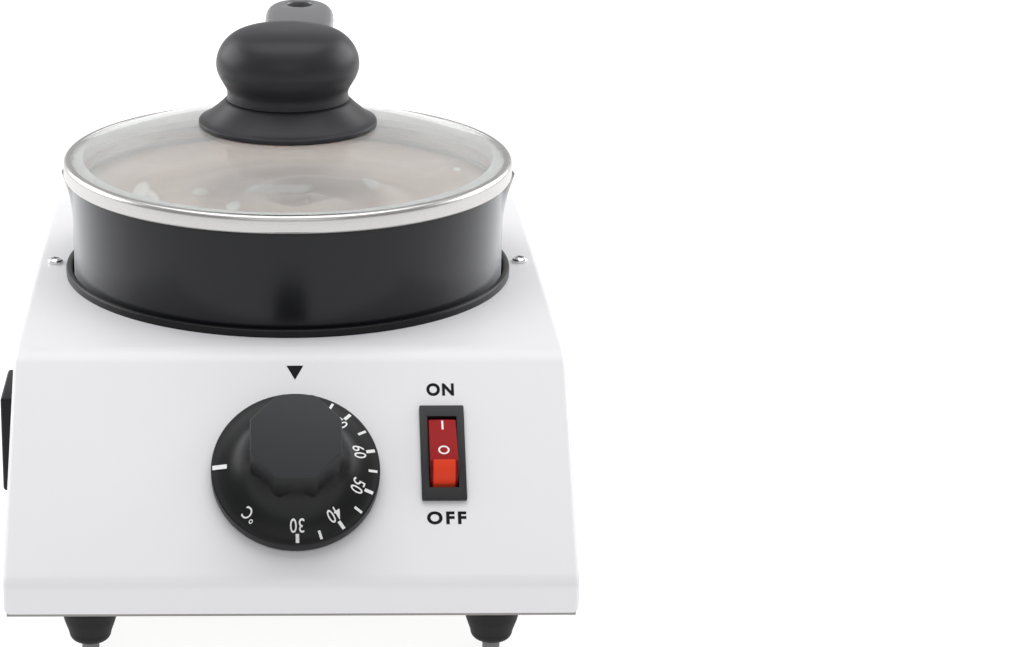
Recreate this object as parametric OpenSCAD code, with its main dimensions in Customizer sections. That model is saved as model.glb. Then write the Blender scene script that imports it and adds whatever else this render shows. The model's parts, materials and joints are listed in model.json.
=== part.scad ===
// Table-top chocolate melting tank: heated well, lift-out pan, glass lid, dial and rocker switch.
// The object stands on the plane Z = 0 and its front panel faces -Y.

/* [Pan] */
// Outer radius of the melting pan
pan_r = 76; // [72:0.5:80]
// Height of the melting pan from its floor to its rim
pan_h = 74.5; // [70:0.5:78]
// Thickness of the pan's wall
pan_wall = 2.5; // [2:0.1:3]
// Thickness of the pan's floor
pan_floor = 3; // [2:0.1:4]
// Height of the pan's rim above the top plate
rim_rise = 35.5; // [34:0.5:40]
// Reach of a pouring lip beyond the pan's wall
spout_out = 4.5; // [3:0.5:6]
// Radius of a pouring lip at the rim
spout_r = 14; // [11:0.5:17]
// Depth of a pouring lip below the rim
spout_h = 12; // [8:0.5:16]
// Turn of the pan about its axis, in degrees
pan_turn = -1.8; // [-5:0.1:5]
// Level of the melted chocolate below the pan's rim
choc_drop = 5.5; // [5:0.5:30]
// Depth of the stirred hollow in the middle of the chocolate
stir_dip = 1.5; // [0.5:0.1:3]

/* [Pan handle] */
// Drop of the handle's root below the pan's rim
handle_drop = 9.5; // [9:0.5:12]
// Rise of the handle towards its end, in degrees
handle_rise = 8; // [4:0.5:12]
// Distance from the pan's wall to the handle's end
handle_len = 147; // [130:1:165]
// Width of the handle at its root
handle_w = 21; // [19:0.5:25]
// Width of the handle's round end
handle_end_w = 29; // [26:0.5:34]
// Thickness of the handle
handle_t = 12; // [11:0.5:15]
// Diameter of the hanging hole
hang_hole_d = 11; // [8:0.5:14]
// Length of the metal ferrule in front of the handle
ferrule_len = 10; // [6:0.5:14]
// Width of the bracket's tang
tang_w = 14; // [11:0.5:16]
// Thickness of the bracket's tang
tang_t = 3; // [2:0.5:4]
// Length of the tang inside the handle
tang_grip = 34; // [26:1:44]

/* [Lid] */
// Overhang of the lid's band beyond the pan's wall
band_out = 3; // [1:0.1:4]
// Height of the lid's band
band_h = 7; // [6.5:0.1:9]
// Thickness of the band's sheet
band_t = 1; // [0.6:0.1:1.2]
// Width of the band's rolled lip over the glass
band_lip = 2.7; // [2:0.1:3.5]
// Rise of the glass dome from its edge to its centre
dome_h = 14; // [10:0.5:18]
// Thickness of the glass
glass_t = 3; // [2.4:0.1:3.4]
// Radius of the knob's flared base
knob_base_r = 32; // [28:0.5:36]
// Height of the knob's base at its axis
knob_base_h = 7; // [6:0.5:9]
// Radius of the knob's neck
neck_r = 21.5; // [18:0.5:23]
// Radius of the knob's ball
ball_r = 25; // [24:0.5:28]
// Height of the knob above its base
knob_h = 27; // [24:0.5:32]

/* [Housing] */
// Height of the top plate above the table
plate_z = 85; // [83:0.5:92]
// Thickness of the housing's sheet steel
sheet_t = 1.2; // [1:0.1:1.5]
// Width of the top plate beside the well
side_margin = 12.4; // [12:0.1:20]
// Width of the top plate in front of the well
front_margin = 13.4; // [13:0.1:20]
// Width of the top plate behind the well
back_margin = 14.4; // [12:0.1:24]
// Slope of the front panel below the horizontal, in degrees
panel_slope = 42.3; // [40:0.1:45]
// Length of the front panel between its folds
panel_len = 82.5; // [80:0.5:86]
// Outer radius of the fold above the front panel
top_fold_r = 12; // [6:0.5:14]
// Outer radius of the fold below the front panel
lip_fold_r = 6; // [3:0.5:8]
// Outer radius of the fold at the back
back_fold_r = 3; // [2:0.5:6]
// Width of the folded flange at the bottom
flange_w = 10; // [9:0.5:12]

/* [Base] */
// Thickness of the base plate
base_t = 1.2; // [1:0.1:1.6]
// Inset of the base plate from the housing's edge
base_inset = 1; // [0.5:0.1:2]
// Height of a foot
foot_h = 14.6; // [13:0.2:18]
// Radius of a foot at its top
foot_top_r = 9.5; // [8.5:0.1:11]
// Radius of a foot at its bottom
foot_low_r = 6.2; // [5.5:0.1:7.5]
// Drop of a foot's pad below the foot
pad_drop = 3.2; // [0.6:0.1:4]
// Inset of the feet from the housing's sides
foot_side = 26; // [24:0.5:36]
// Inset of the feet from the housing's front and back
foot_end = 16; // [14:0.5:22]

/* [Well] */
// Gap between the pan's wall and the well
well_gap = 0.6; // [0.4:0.1:1]
// Thickness of the well liner
liner_t = 1; // [0.8:0.1:1.2]
// Width of the well's lip
lip_w = 2.3; // [1.8:0.1:3]
// Height of the well's lip above the top plate
lip_h = 3; // [2:0.1:4]
// Thickness of the hot plate
hot_plate_t = 5; // [4.6:0.1:6]
// Diameter of the heating coil's tube
coil_d = 6.5; // [6:0.1:7]
// Radius of the heating coil
coil_r = 48; // [42:1:58]
// Width of the strap that carries the well
strap_w = 22; // [20:0.5:26]
// Distance of the strap's screws behind the well's axis
top_screw_y = 6; // [0:0.5:7]
// Thickness of the strap
strap_t = 1.2; // [1:0.1:1.6]
// Radius of the heat shield
shield_r = 58; // [50:1:62]
// Height of the heat shield above the base plate
shield_gap = 3; // [2.5:0.1:4]

/* [Dial] */
// Offset of the dial from the middle of the panel
dial_x = 1.5; // [-4:0.5:6]
// Distance of the dial's axis below the panel's top fold
dial_q = 45.4; // [43:0.2:48]
// Radius of the dial's skirt
dial_r = 26.8; // [25:0.2:28]
// Thickness of the skirt's edge
skirt_t = 4.4; // [2:0.1:5]
// Width of the eight-sided grip across its flats
grip_w = 28.5; // [26:0.5:32]
// Height of the dial
dial_h = 27.4; // [24:0.2:31]
// Gap between the dial and the panel
dial_gap = 0.8; // [0.6:0.1:1.2]
// Diameter of the spindle
spindle_d = 6; // [5:0.1:6.4]
// Width of the thermostat
thermostat_w = 32; // [30:0.5:34]
// Depth of the thermostat
thermostat_depth = 20; // [18:0.5:22]

/* [Switch] */
// Offset of the switch from the middle of the panel
switch_x = 48.6; // [46:0.2:54]
// Distance of the switch's middle below the panel's top fold
switch_q = 37.9; // [36:0.2:42]
// Width of the switch's frame
bezel_w = 14.3; // [13.9:0.1:16]
// Length of the switch's frame
bezel_len = 33.5; // [33:0.1:36]
// Thickness of the switch's frame
bezel_t = 1.8; // [1.2:0.1:2.4]
// Width of the rocker
rocker_w = 8.8; // [7.4:0.1:9]
// Length of the window round the rocker
window_len = 25.3; // [24:0.1:26]
// Depth of the rocker's pivot below the frame's face
pivot_depth = 7.5; // [7:0.1:8]
// Height of the rocker's face above its pivot
face_h = 10.6; // [10:0.1:11]
// Tilt of the rocker each way, in degrees
rocker_tilt = 15; // [12:0.5:15]
// Depth of the switch behind the panel
switch_depth = 20; // [19:0.5:24]

/* [Power inlet] */
// Distance of the inlet in front of the well's axis
inlet_y = 47; // [44:0.5:50]
// Height of the inlet's middle above the table
inlet_z = 41; // [39:0.5:43]
// Width of the inlet's box
inlet_w = 30; // [28:0.5:32]
// Height of the inlet's box
inlet_h = 34; // [32:0.5:36]
// Reach of the inlet's box beyond the housing's side
inlet_out = 8; // [6:0.5:10]
// Width of the inlet's socket
socket_w = 16.5; // [16:0.1:17]
// Height of the inlet's socket
socket_h = 24.5; // [24:0.1:25]
// Depth of the inlet's socket
socket_depth = 16; // [14:0.5:17]

/* [Hidden] */
$fn = 64;
fold_steps = 8;
curve_steps = 12;
cut = 1;
// Length of a cutter that goes through sheet metal
through = 10;

// Clearances
seat_gap = 0.05;
hole_gap = 0.3;
run_gap = 0.06;
rest_gap = 0.1;

// Colours
white_enamel = [0.90, 0.89, 0.90];
black_coat = [0.13, 0.13, 0.14];
black_plastic = [0.10, 0.10, 0.11];
steel = [0.74, 0.74, 0.74];
brass = [0.78, 0.64, 0.34];

// Fasteners: shank radius, head radius, head height and nut width across its flats
screw_r = 2;
screw_head_r = 2.8;
screw_head_h = 1.8;
nut_w = 7;
nut_h = 3.2;
thread_past = 1.5;
base_screw_past = 4;
// Outline of a rounded head, as shares of its radius and height
head_outline = [[0, 0], [1, 0], [1, 0.35], [0.72, 0.85], [0.4, 1], [0, 1]];

// Heights
shell_z = pad_drop + foot_h + base_t;
base_z = shell_z - base_t;
rim_z = plate_z + rim_rise;
pan_z = rim_z - pan_h;
pan_floor_z = pan_z + pan_floor;
liner_floor_z = pan_z - hot_plate_t;
liner_under_z = liner_floor_z - liner_t;
coil_z = liner_under_z - rest_gap - coil_d / 2;
strap_z = coil_z - coil_d / 2 - rest_gap - strap_t;
shield_z = shell_z + shield_gap;
shield_t = 0.8;
spacer_in = 6;
spacer_wall = 1.5;

// Radii
pan_in = pan_r - pan_wall;
well_r = pan_r + well_gap;
liner_r = well_r + liner_t;
hole_r = liner_r + hole_gap;
hot_plate_inset = 4;
hot_plate_r = pan_r - hot_plate_inset;
bead_z = plate_z + 0.6 * lip_h;

// Housing outline
body_w = 2 * (liner_r + side_margin);
body_in = body_w / 2 - sheet_t;
plate_front = liner_r + front_margin;
plate_back = liner_r + back_margin;
front_y = plate_front + panel_len * cos(panel_slope);
lip_z = plate_z - panel_len * sin(panel_slope);
depth_y = front_y + plate_back;
middle_y = (plate_back - front_y) / 2;
foot_x = body_w / 2 - foot_side;
foot_ys = [foot_end - front_y, plate_back - foot_end];
flange_screw_x = body_w / 2 - flange_w / 2 - sheet_t / 2;
flange_screw_front = 45;
flange_screw_back = 40;
flange_screw_ys = [flange_screw_front - front_y, 0, plate_back - flange_screw_back];

// Vents in the base plate
vent_x = 20;
vent_step = 6;
vent_back = 18;
vent_w = 3;
vent_len = 16;

// Feet and their pads
foot_round = 3;
foot_taper = 0.3;
shoulder_r = foot_top_r - 1.4;
shoulder_z = pad_drop + 0.55 * foot_h;
pad_r = 2.75;
pad_h_in = 5;

// Strap and its screws on the top plate
strap_gap = 1;
nut_edge = 0.5;
strap_in = liner_r + strap_gap;
strap_out = strap_in + strap_t;
top_screw_x = strap_out + 2 * rest_gap + nut_w / 2;
tab_out = top_screw_x + nut_w / 2 + nut_edge;
strap_top_z = plate_z - sheet_t;

// Lid
band_r = pan_r + band_out;
glass_drop = 0.65;
skirt_gap = 0.8;
band_edge = 0.5;
ball_rise = 13;
glass_r = band_r - band_t - 2 * rest_gap;
glass_edge_z = rim_z + band_h - band_t - glass_drop;
glass_top_z = glass_edge_z + dome_h;
dome_r = (glass_r * glass_r + dome_h * dome_h) / (2 * dome_h);
dome_z = glass_top_z - dome_r;
skirt_r = pan_in - skirt_gap;
skirt_drop = 4;
gasket_in = skirt_r - band_t - 2 * rest_gap;
crease_z = glass_top_z + knob_base_h;
ball_z = crease_z + ball_rise;
knob_top_z = crease_z + knob_h;
knob_screw_r = 2.5;
knob_hole_r = knob_screw_r + hole_gap;
knob_rim_h = 1.8;
knob_rim_edge = 0.6;
knob_thread = 14;
washer_r = 9;
washer_t = 1.5;
knob_head_r = 5;
knob_head_h = 3;

// Handle, measured from the pan's wall along its own slope
handle_z = rim_z - handle_drop;
ferrule_start = 8;
grip_start = ferrule_start + ferrule_len;
neck_y = 62;
neck_narrowing = 2;
handle_neck_w = handle_w - neck_narrowing;
tang_end = grip_start + tang_grip;
hang_shift = 1;
hang_y = handle_len - handle_end_w / 2 + hang_shift;
handle_screw_y = grip_start + tang_grip / 2;
pad_t = 2.5;
pad_h = 14;
rivet_r = 2.5;
rivet_seat = 0.2;
rivet_head_r = rivet_r + 1.5;
rivet_head_h = 1.2;
rivet_room = 0.3;
choc_flat = 6;
// Shares of the fill's radius where its hollow begins and ends
hollow_out = 0.55;
hollow_in = 0.4;
rivet_x = tang_w / 2 + rivet_head_r + hole_gap;
rivet_turn = asin(rivet_x / pan_r);
pad_half = asin((rivet_x + rivet_head_r + 1) / pan_r);
handle_thread_end = 1.5;

// Rounding of the pan's foot, outside and inside
pan_round = 6;
pan_round_in = 7;

// Dial and thermostat
collar_r = 4.5;
collar_h = 2;
hub_z = 2.6;
hub_r = 7;
hub_len = 15;
bore_len = hub_z + hub_len;
spindle_in = 10;
flat_depth = 1.2;
hub_hollow_r = 11;
hub_hollow_h = 14;
dial_hollow_h = 2.2;
thermostat_screw_x = 12;
thermostat_thread = 5;
dial_hollow_r = thermostat_screw_x + screw_head_r + cut;
dial_neck = grip_w / 2 + 0.4;
skirt_edge = 0.6;
skirt_flat = 1.5;
cone_h = 15;
flare_rise = 2.6;
flat_up = 2;

// Switch
frame_lip = 1.4;
rocker_r = norm([window_len / 2, pivot_depth - frame_lip]) - hole_gap;
rocker_cut = rocker_r - 1;
rocker_back = 3;
heel_x = 3.5;
heel_z = -2.4;
bevel_z = 4;
trunnion_r = 1.2;
trunnion_len = 1;
window_w = rocker_w + 2 * hole_gap;
pocket_half = rocker_r + hole_gap;
switch_wall = 0.8;
switch_side = 1.2;
switch_len = 2 * (pocket_half + switch_wall);
switch_w = window_w + 2 * switch_side;
pivot_z = bezel_t - pivot_depth;
pocket_low = 5;
tab_w = 6.3;
tab_t = 0.8;
tab_len = 8;
switch_tab_q = 8;
thermostat_tab_x = 8;
thermostat_tab_q = 6;

// Inlet
inlet_flange = 3;
inlet_body_w = inlet_w - 2 * inlet_flange;
inlet_body_h = inlet_h - 2 * inlet_flange;
inlet_back = 3;
inlet_in = socket_depth - inlet_out + inlet_back;
pin_w = 4;
pin_t = 2;
pin_step = 7;
pin_earth = 4;
pin_past = 7;
pin_short = 3;
inlet_x = -body_w / 2;
tab_tip_x = inlet_x + inlet_in + pin_past;

// Thermal cut-out and heater connections
cutout_y = 24;
cutout_r = 8;
cutout_h = 7;
cutout_tab_x = 4;
cutout_tab_len = 4;
cutout_tab_w = 4;
stud_r = 2.5;
stud_in = 3;
coil_gap = 30;
coil_pin_d = 4;
coil_pin_len = 6;

// Terminal block and earth stud
block_side = 40;
block_front = 20;
block_at = [block_side - body_w / 2, -plate_front - block_front];
block_size = [30, 16, 14];
block_pole = 10;
block_hole_r = 2;
block_screw_r = 1.5;
block_hole_z = shell_z + 6;
earth_side = 20;
earth_at = [earth_side - body_w / 2, -plate_front - block_front];
earth_stud_len = 12;
earth_bow = [6, 24, 6];
neutral_bow = [0, 20, 4];
heater_bow = 18;
tag_r = 4;
tag_t = 1;
barrel_y = 9;
barrel_h = 3;
barrel_wall = 0.3;

// Sensor
bulb_d = 6;
bulb_len = 34;
bulb_y = -(liner_r + bulb_d / 2 + seat_gap);
bulb_z = liner_floor_z + 4;
clip_h = 8;
clip_t = 0.8;
clip_turn = 6;
capillary_d = 2;
wire_d = 3;

// The origin lies under the middle of the object's box
frame_x = inlet_out / 2;
handle_reach = pan_r + handle_len * cos(handle_rise);
frame_y = -(handle_reach - front_y) / 2;

// Points and curves
function unit(v) = v / norm(v);
function lerp(a, b, t) = a + (b - a) * t;
function bent(a, b, c, t) = lerp(lerp(a, b, t), lerp(b, c, t), t);
function cubic(a, b, c, d, t) = lerp(bent(a, b, c, t), bent(b, c, d, t), t);
function bend(a, b, c) = [for (i = [0 : curve_steps]) bent(a, b, c, i / curve_steps)];
function curve(a, b, c, d) = [for (i = [0 : curve_steps]) cubic(a, b, c, d, i / curve_steps)];
function inset(p, a, b, d) =
  let (u = unit(a - p), m = unit(u + unit(b - p)))
  p + m * d / sin(acos(u * m));
function fold(p, a, b, r) =
  let (u = unit(a - p), v = unit(b - p), m = unit(u + v), half = acos(u * m))
  let (c = p + m * r / sin(half), s = p + u * r / tan(half) - c, e = p + v * r / tan(half) - c)
  let (start = atan2(s.y, s.x), turn = atan2(s.x * e.y - s.y * e.x, s * e))
  [for (i = [0 : fold_steps]) let (a = start + turn * i / fold_steps) c + r * [cos(a), sin(a)]];

// A point of the front panel, q below its top fold and h in front of it
function panel_pt(x, q, h) = [
  x,
  -plate_front - q * cos(panel_slope) - h * sin(panel_slope),
  plate_z - q * sin(panel_slope) + h * cos(panel_slope)
];

// Height of the glass dome at radius r, lifted by d
function dome_at(r, d) = dome_z + sqrt((dome_r + d) * (dome_r + d) - r * r);
function dome_arc(r0, r1, d) = [
  for (i = [0 : curve_steps]) let (r = lerp(r0, r1, i / curve_steps)) [r, dome_at(r, d)]
];

// Wire paths: each corner is eased over length r
function eased(p, r) = [
  p[0],
  for (i = [1 : len(p) - 2])
    let (a = p[i] + unit(p[i - 1] - p[i]) * r, c = p[i] + unit(p[i + 1] - p[i]) * r)
    for (k = [0 : 3]) bent(a, p[i], c, k / 3),
  p[len(p) - 1]
];
function heading(p, i) =
  unit((i < len(p) - 1 ? unit(p[i + 1] - p[i]) : [0, 0, 0]) + (i > 0 ? unit(p[i] - p[i - 1]) : [0, 0, 0]));

module in_frame() { translate([frame_x, frame_y, 0]) children(); }
module on_panel(x, q) { translate(panel_pt(x, q, 0)) rotate([panel_slope, 0, 0]) children(); }
module across(w) { translate([-w / 2, 0, 0]) rotate([90, 0, 90]) linear_extrude(w) children(); }
module slab(x, y, z) { translate([-x / 2, -y / 2, 0]) cube([x, y, z]); }
module ring(r_out, r_in, h) {
  difference() {
    cylinder(r = r_out, h = h);
    translate([0, 0, -cut]) cylinder(r = r_in, h = h + 2 * cut);
  }
}
module drill(r) { cylinder(r = r, h = through, center = true); }
module screw_hole() { drill(screw_r + seat_gap); }
module hex(w, h) { cylinder(d = w / cos(30), h = h, $fn = 6); }
module nut(r) {
  difference() {
    hex(nut_w, nut_h);
    translate([0, 0, -cut]) cylinder(r = r + seat_gap, h = nut_h + 2 * cut);
  }
}

// A round-headed screw whose shank points down from its seat
module screw(r, length, head_r, head_h) {
  translate([0, 0, -length]) cylinder(r = r, h = length);
  rotate_extrude() polygon([for (p = head_outline) [p.x * head_r, p.y * head_h]]);
}

// A thin tube swept along points
module tube(p, d) {
  n = len(p);
  k = 8;
  side = [0.36, 0.48, 0.8];
  points = [
    for (i = [0 : n - 1])
      let (t = heading(p, i), u = unit(cross(t, side)), v = cross(t, u))
      for (a = [0 : k - 1]) p[i] + d / 2 * (u * cos(360 * a / k) + v * sin(360 * a / k)),
    p[0],
    p[n - 1]
  ];
  function at(i, a) = i * k + a % k;
  faces = [
    for (i = [0 : n - 2]) for (a = [0 : k - 1]) each [
      [at(i, a), at(i + 1, a), at(i, a + 1)],
      [at(i, a + 1), at(i + 1, a), at(i + 1, a + 1)]
    ],
    for (a = [0 : k - 1]) [n * k, at(0, a), at(0, a + 1)],
    for (a = [0 : k - 1]) [n * k + 1, at(n - 1, a + 1), at(n - 1, a)]
  ];
  polyhedron(points, faces);
}

// Housing
side_points = [
  [plate_back, shell_z],
  [plate_back, plate_z],
  [-plate_front, plate_z],
  [-front_y, lip_z],
  [-front_y, shell_z]
];
function side_inset(d) = [
  [plate_back - d, shell_z - d],
  for (i = [1 : 3]) inset(side_points[i], side_points[i - 1], side_points[i + 1], d),
  [-front_y + d, shell_z - d]
];
function side_outline(d) =
  let (p = side_inset(d))
  concat(
    [p[0]],
    fold(p[1], p[0], p[2], back_fold_r - d),
    fold(p[2], p[1], p[3], top_fold_r - d),
    fold(p[3], p[2], p[4], lip_fold_r - d),
    [p[4]]
  );

module housing_shell() {
  color(white_enamel) in_frame() difference() {
    union() {
      difference() {
        across(body_w) polygon(side_outline(0));
        across(2 * body_in) polygon(side_outline(sheet_t));
      }
      bottom_flange();
    }
    translate([0, 0, plate_z]) drill(hole_r);
    at_top_screws() screw_hole();
    on_panel(dial_x, dial_q) {
      drill(collar_r + seat_gap);
      at_thermostat_screws() screw_hole();
    }
    on_panel(switch_x, switch_q) translate([0, 0, -through / 2])
      slab(switch_w + 2 * rest_gap, switch_len + 2 * rest_gap, through);
    on_inlet() translate([0, 0, -cut])
      slab(inlet_body_h + 2 * rest_gap, inlet_body_w + 2 * rest_gap, sheet_t + 2 * cut);
    flange_holes() screw_hole();
  }
}
module bottom_flange() {
  translate([0, middle_y, shell_z]) difference() {
    slab(body_w, depth_y, sheet_t);
    translate([0, 0, -cut]) slab(body_w - 2 * flange_w, depth_y - 2 * flange_w, sheet_t + 2 * cut);
  }
}
module flange_holes() {
  for (s = [-1, 1]) for (y = flange_screw_ys) translate([s * flange_screw_x, y, shell_z]) children();
}

// Base
module base_plate() {
  color([0.48, 0.48, 0.47]) in_frame() difference() {
    translate([0, middle_y, base_z]) slab(body_w - 2 * base_inset, depth_y - 2 * base_inset, base_t);
    flange_holes() screw_hole();
    translate([0, 0, base_z]) {
      at_feet() screw_hole();
      at_spacers() screw_hole();
      translate(earth_at) screw_hole();
      for (s = [-1, 1]) for (i = [-2 : 2])
        translate([s * vent_x + i * vent_step, plate_back - vent_back, -cut])
          slab(vent_w, vent_len, base_t + 2 * cut);
    }
  }
}
module base_screws() {
  length = base_t + sheet_t + base_screw_past;
  color(steel) in_frame() flange_holes() translate([0, 0, -base_t]) rotate([180, 0, 0])
    screw(screw_r, length, screw_head_r, screw_head_h);
}
module at_feet() {
  for (s = [-1, 1]) for (y = foot_ys) translate([s * foot_x, y, 0]) children();
}
module foot(s, y) {
  low = pad_drop;
  color(black_plastic) in_frame() translate([s * foot_x, y, 0]) difference() {
    rotate_extrude() polygon(concat(
      [[0, base_z], [0, low]],
      bend([foot_low_r - foot_round, low], [foot_low_r, low], [foot_low_r + foot_taper, low + foot_round]),
      [[shoulder_r, shoulder_z], [foot_top_r, base_z]]
    ));
    translate([0, 0, low - cut]) cylinder(r = pad_r + seat_gap, h = pad_h_in + screw_head_h + cut);
    translate([0, 0, low]) cylinder(r = screw_r + seat_gap, h = foot_h + cut);
  }
}
module foot_front_left() { foot(-1, foot_ys[0]); }
module foot_front_right() { foot(1, foot_ys[0]); }
module foot_back_left() { foot(-1, foot_ys[1]); }
module foot_back_right() { foot(1, foot_ys[1]); }
module foot_pads() {
  color([0.42, 0.42, 0.42]) in_frame() at_feet() cylinder(r = pad_r, h = pad_drop + pad_h_in);
}
module foot_screws() {
  seat = pad_drop + pad_h_in + screw_head_h;
  color(steel) in_frame() at_feet() translate([0, 0, seat]) rotate([180, 0, 0])
    screw(screw_r, shell_z - seat + nut_h + thread_past, pad_r - seat_gap, screw_head_h);
}
module foot_nuts() {
  color(steel) in_frame() at_feet() translate([0, 0, shell_z]) nut(screw_r);
}

// Well and heater
module well_liner() {
  color(black_coat) in_frame() difference() {
    rotate_extrude() polygon(concat(
      [[0, liner_under_z], [liner_r, liner_under_z], [liner_r, plate_z], [well_r + lip_w, plate_z]],
      curve([well_r + lip_w, bead_z], [well_r + lip_w, plate_z + lip_h],
        [well_r, plate_z + lip_h], [well_r, bead_z]),
      [[well_r, liner_floor_z], [0, liner_floor_z]]
    ));
    translate([0, 0, liner_under_z - cut]) cylinder(r = stud_r + seat_gap, h = liner_t + 2 * cut);
  }
}
module well_strap() {
  color(steel) in_frame() difference() {
    union() {
      translate([0, 0, strap_z]) slab(2 * strap_out, strap_w, strap_t);
      for (s = [-1, 1]) {
        translate([s * (strap_in + strap_out) / 2, 0, strap_z])
          slab(strap_t, strap_w, strap_top_z - strap_z);
        translate([s * (strap_in + tab_out) / 2, 0, strap_top_z - strap_t])
          slab(tab_out - strap_in, strap_w, strap_t);
      }
    }
    at_top_screws() screw_hole();
    translate([0, 0, strap_z]) drill(stud_r + seat_gap);
  }
}
module at_top_screws() {
  for (s = [-1, 1]) translate([s * top_screw_x, top_screw_y, plate_z]) children();
}
module top_screws() {
  length = sheet_t + strap_t + nut_h + thread_past;
  color([0.8, 0.8, 0.8]) in_frame() at_top_screws() screw(screw_r, length, screw_head_r, screw_head_h);
}
module strap_nuts() {
  color(steel) in_frame() at_top_screws()
    translate([0, 0, -sheet_t - strap_t - nut_h]) rotate(30) nut(screw_r);
}
module hot_plate() {
  color([0.7, 0.7, 0.71]) in_frame() difference() {
    translate([0, 0, liner_floor_z]) cylinder(r = hot_plate_r, h = hot_plate_t);
    translate([0, 0, liner_floor_z - cut]) cylinder(r = stud_r + seat_gap, h = stud_in + cut);
  }
}
coil_start = coil_gap / 2 - 90;
module heating_coil() {
  color([0.4, 0.36, 0.33]) in_frame() translate([0, 0, coil_z]) rotate(coil_start)
    rotate_extrude(angle = 360 - coil_gap) translate([coil_r, 0]) circle(d = coil_d);
}
function coil_pin_end(s) =
  let (a = -90 + s * coil_gap / 2)
  [coil_r * cos(a) + s * coil_pin_len * sin(a), coil_r * sin(a) - s * coil_pin_len * cos(a), coil_z];
module coil_terminals() {
  color(steel) in_frame() for (s = [-1, 1])
    rotate(-90 + s * coil_gap / 2) translate([coil_r, 0, coil_z]) rotate([s * 90, 0, 0])
      cylinder(d = coil_pin_d, h = coil_pin_len);
}
stud_end_z = strap_z - nut_h - thread_past;
module clamp_stud() {
  color(steel) in_frame() translate([0, 0, stud_end_z])
    cylinder(r = stud_r, h = liner_floor_z + stud_in - stud_end_z);
}
module clamp_nut() {
  color(steel) in_frame() translate([0, 0, strap_z - nut_h]) nut(stud_r);
}
cutout_z = liner_under_z - cutout_h;
module thermal_cutout() {
  color([0.55, 0.5, 0.42]) in_frame() translate([0, cutout_y, 0]) {
    translate([0, 0, cutout_z]) cylinder(r = cutout_r, h = cutout_h);
    for (s = [-1, 1]) translate([s * cutout_tab_x, 0, cutout_z - cutout_tab_len])
      slab(tab_t, cutout_tab_w, cutout_tab_len + cut);
  }
}
module at_spacers() {
  for (a = [90, 210, 330]) rotate(a) translate([shield_r - spacer_in, 0, 0]) children();
}
module heat_shield() {
  color([0.66, 0.67, 0.68]) in_frame() difference() {
    translate([0, 0, shield_z]) cylinder(r = shield_r, h = shield_t);
    at_spacers() translate([0, 0, shield_z]) screw_hole();
  }
}
module shield_spacers() {
  color(steel) in_frame() at_spacers() translate([0, 0, shell_z])
    ring(screw_r + spacer_wall, screw_r + seat_gap, shield_gap);
}
module shield_screws() {
  color(steel) in_frame() at_spacers() translate([0, 0, shield_z + shield_t])
    screw(screw_r, shield_t + shield_gap + base_t, screw_head_r, screw_head_h);
}

// Thermostat, its sensor and the dial
module thermostat_body() {
  color([0.3, 0.3, 0.32]) in_frame() on_panel(dial_x, dial_q) difference() {
    union() {
      translate([0, 0, -sheet_t - thermostat_depth]) slab(thermostat_w, thermostat_w, thermostat_depth);
      translate([0, 0, -sheet_t - cut]) cylinder(r = collar_r, h = sheet_t + collar_h + cut);
    }
    translate([0, 0, -sheet_t - spindle_in - cut])
      cylinder(d = spindle_d + 2 * run_gap, h = spindle_in + through);
    at_thermostat_screws() translate([0, 0, -sheet_t - thermostat_thread - cut])
      cylinder(r = screw_r + seat_gap, h = through);
  }
}
module at_thermostat_screws() {
  for (s = [-1, 1]) translate([s * thermostat_screw_x, 0, 0]) children();
}
module thermostat_screws() {
  color(steel) in_frame() on_panel(dial_x, dial_q) at_thermostat_screws()
    screw(screw_r, sheet_t + thermostat_thread, screw_head_r, screw_head_h);
}
module thermostat_terminals() {
  color(brass) in_frame() on_panel(dial_x, dial_q + thermostat_tab_q) for (s = [-1, 1])
    translate([s * thermostat_tab_x, 0, -sheet_t - thermostat_depth - tab_len]) slab(tab_w, tab_t, tab_len);
}
module dial_spindle() {
  color(steel) in_frame() on_panel(dial_x, dial_q) translate([0, 0, -sheet_t - spindle_in]) difference() {
    cylinder(d = spindle_d, h = sheet_t + spindle_in + bore_len - seat_gap);
    translate([-spindle_d, spindle_d / 2 - flat_depth, sheet_t + spindle_in + hub_z + flat_up])
      cube([2 * spindle_d, spindle_d, hub_len]);
  }
}
module dial() {
  grip_r = grip_w / 2 / cos(22.5);
  skirt_top = dial_gap + skirt_t;
  color(black_plastic) in_frame() on_panel(dial_x, dial_q) difference() {
    union() {
      rotate_extrude() polygon(concat(
        [[0, dial_gap], [dial_r, dial_gap]],
        [[dial_r, skirt_top - skirt_edge], [dial_r - skirt_edge, skirt_top]],
        bend([dial_r - skirt_flat, skirt_top], [dial_neck, skirt_top + flare_rise],
          [dial_neck, skirt_top + cone_h]),
        [[0, skirt_top + cone_h]]
      ));
      rotate(22.5) translate([0, 0, skirt_top])
        cylinder(r = grip_r, h = dial_h + dial_gap - skirt_top, $fn = 8);
    }
    difference() {
      translate([0, 0, dial_gap - cut]) {
        cylinder(r = dial_hollow_r, h = dial_hollow_h + cut);
        cylinder(r = hub_hollow_r, h = hub_hollow_h + cut);
      }
      translate([0, 0, hub_z]) cylinder(r = hub_r, h = hub_hollow_h);
    }
    difference() {
      translate([0, 0, hub_z - cut]) cylinder(d = spindle_d + 2 * seat_gap, h = hub_len + cut);
      translate([-spindle_d, spindle_d / 2 - flat_depth + seat_gap, hub_z + flat_up + seat_gap])
        cube([2 * spindle_d, spindle_d, hub_len]);
    }
  }
}
module sensor_bulb() {
  color([0.72, 0.5, 0.36]) in_frame() translate([0, bulb_y, bulb_z]) cylinder(d = bulb_d, h = bulb_len);
}
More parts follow.
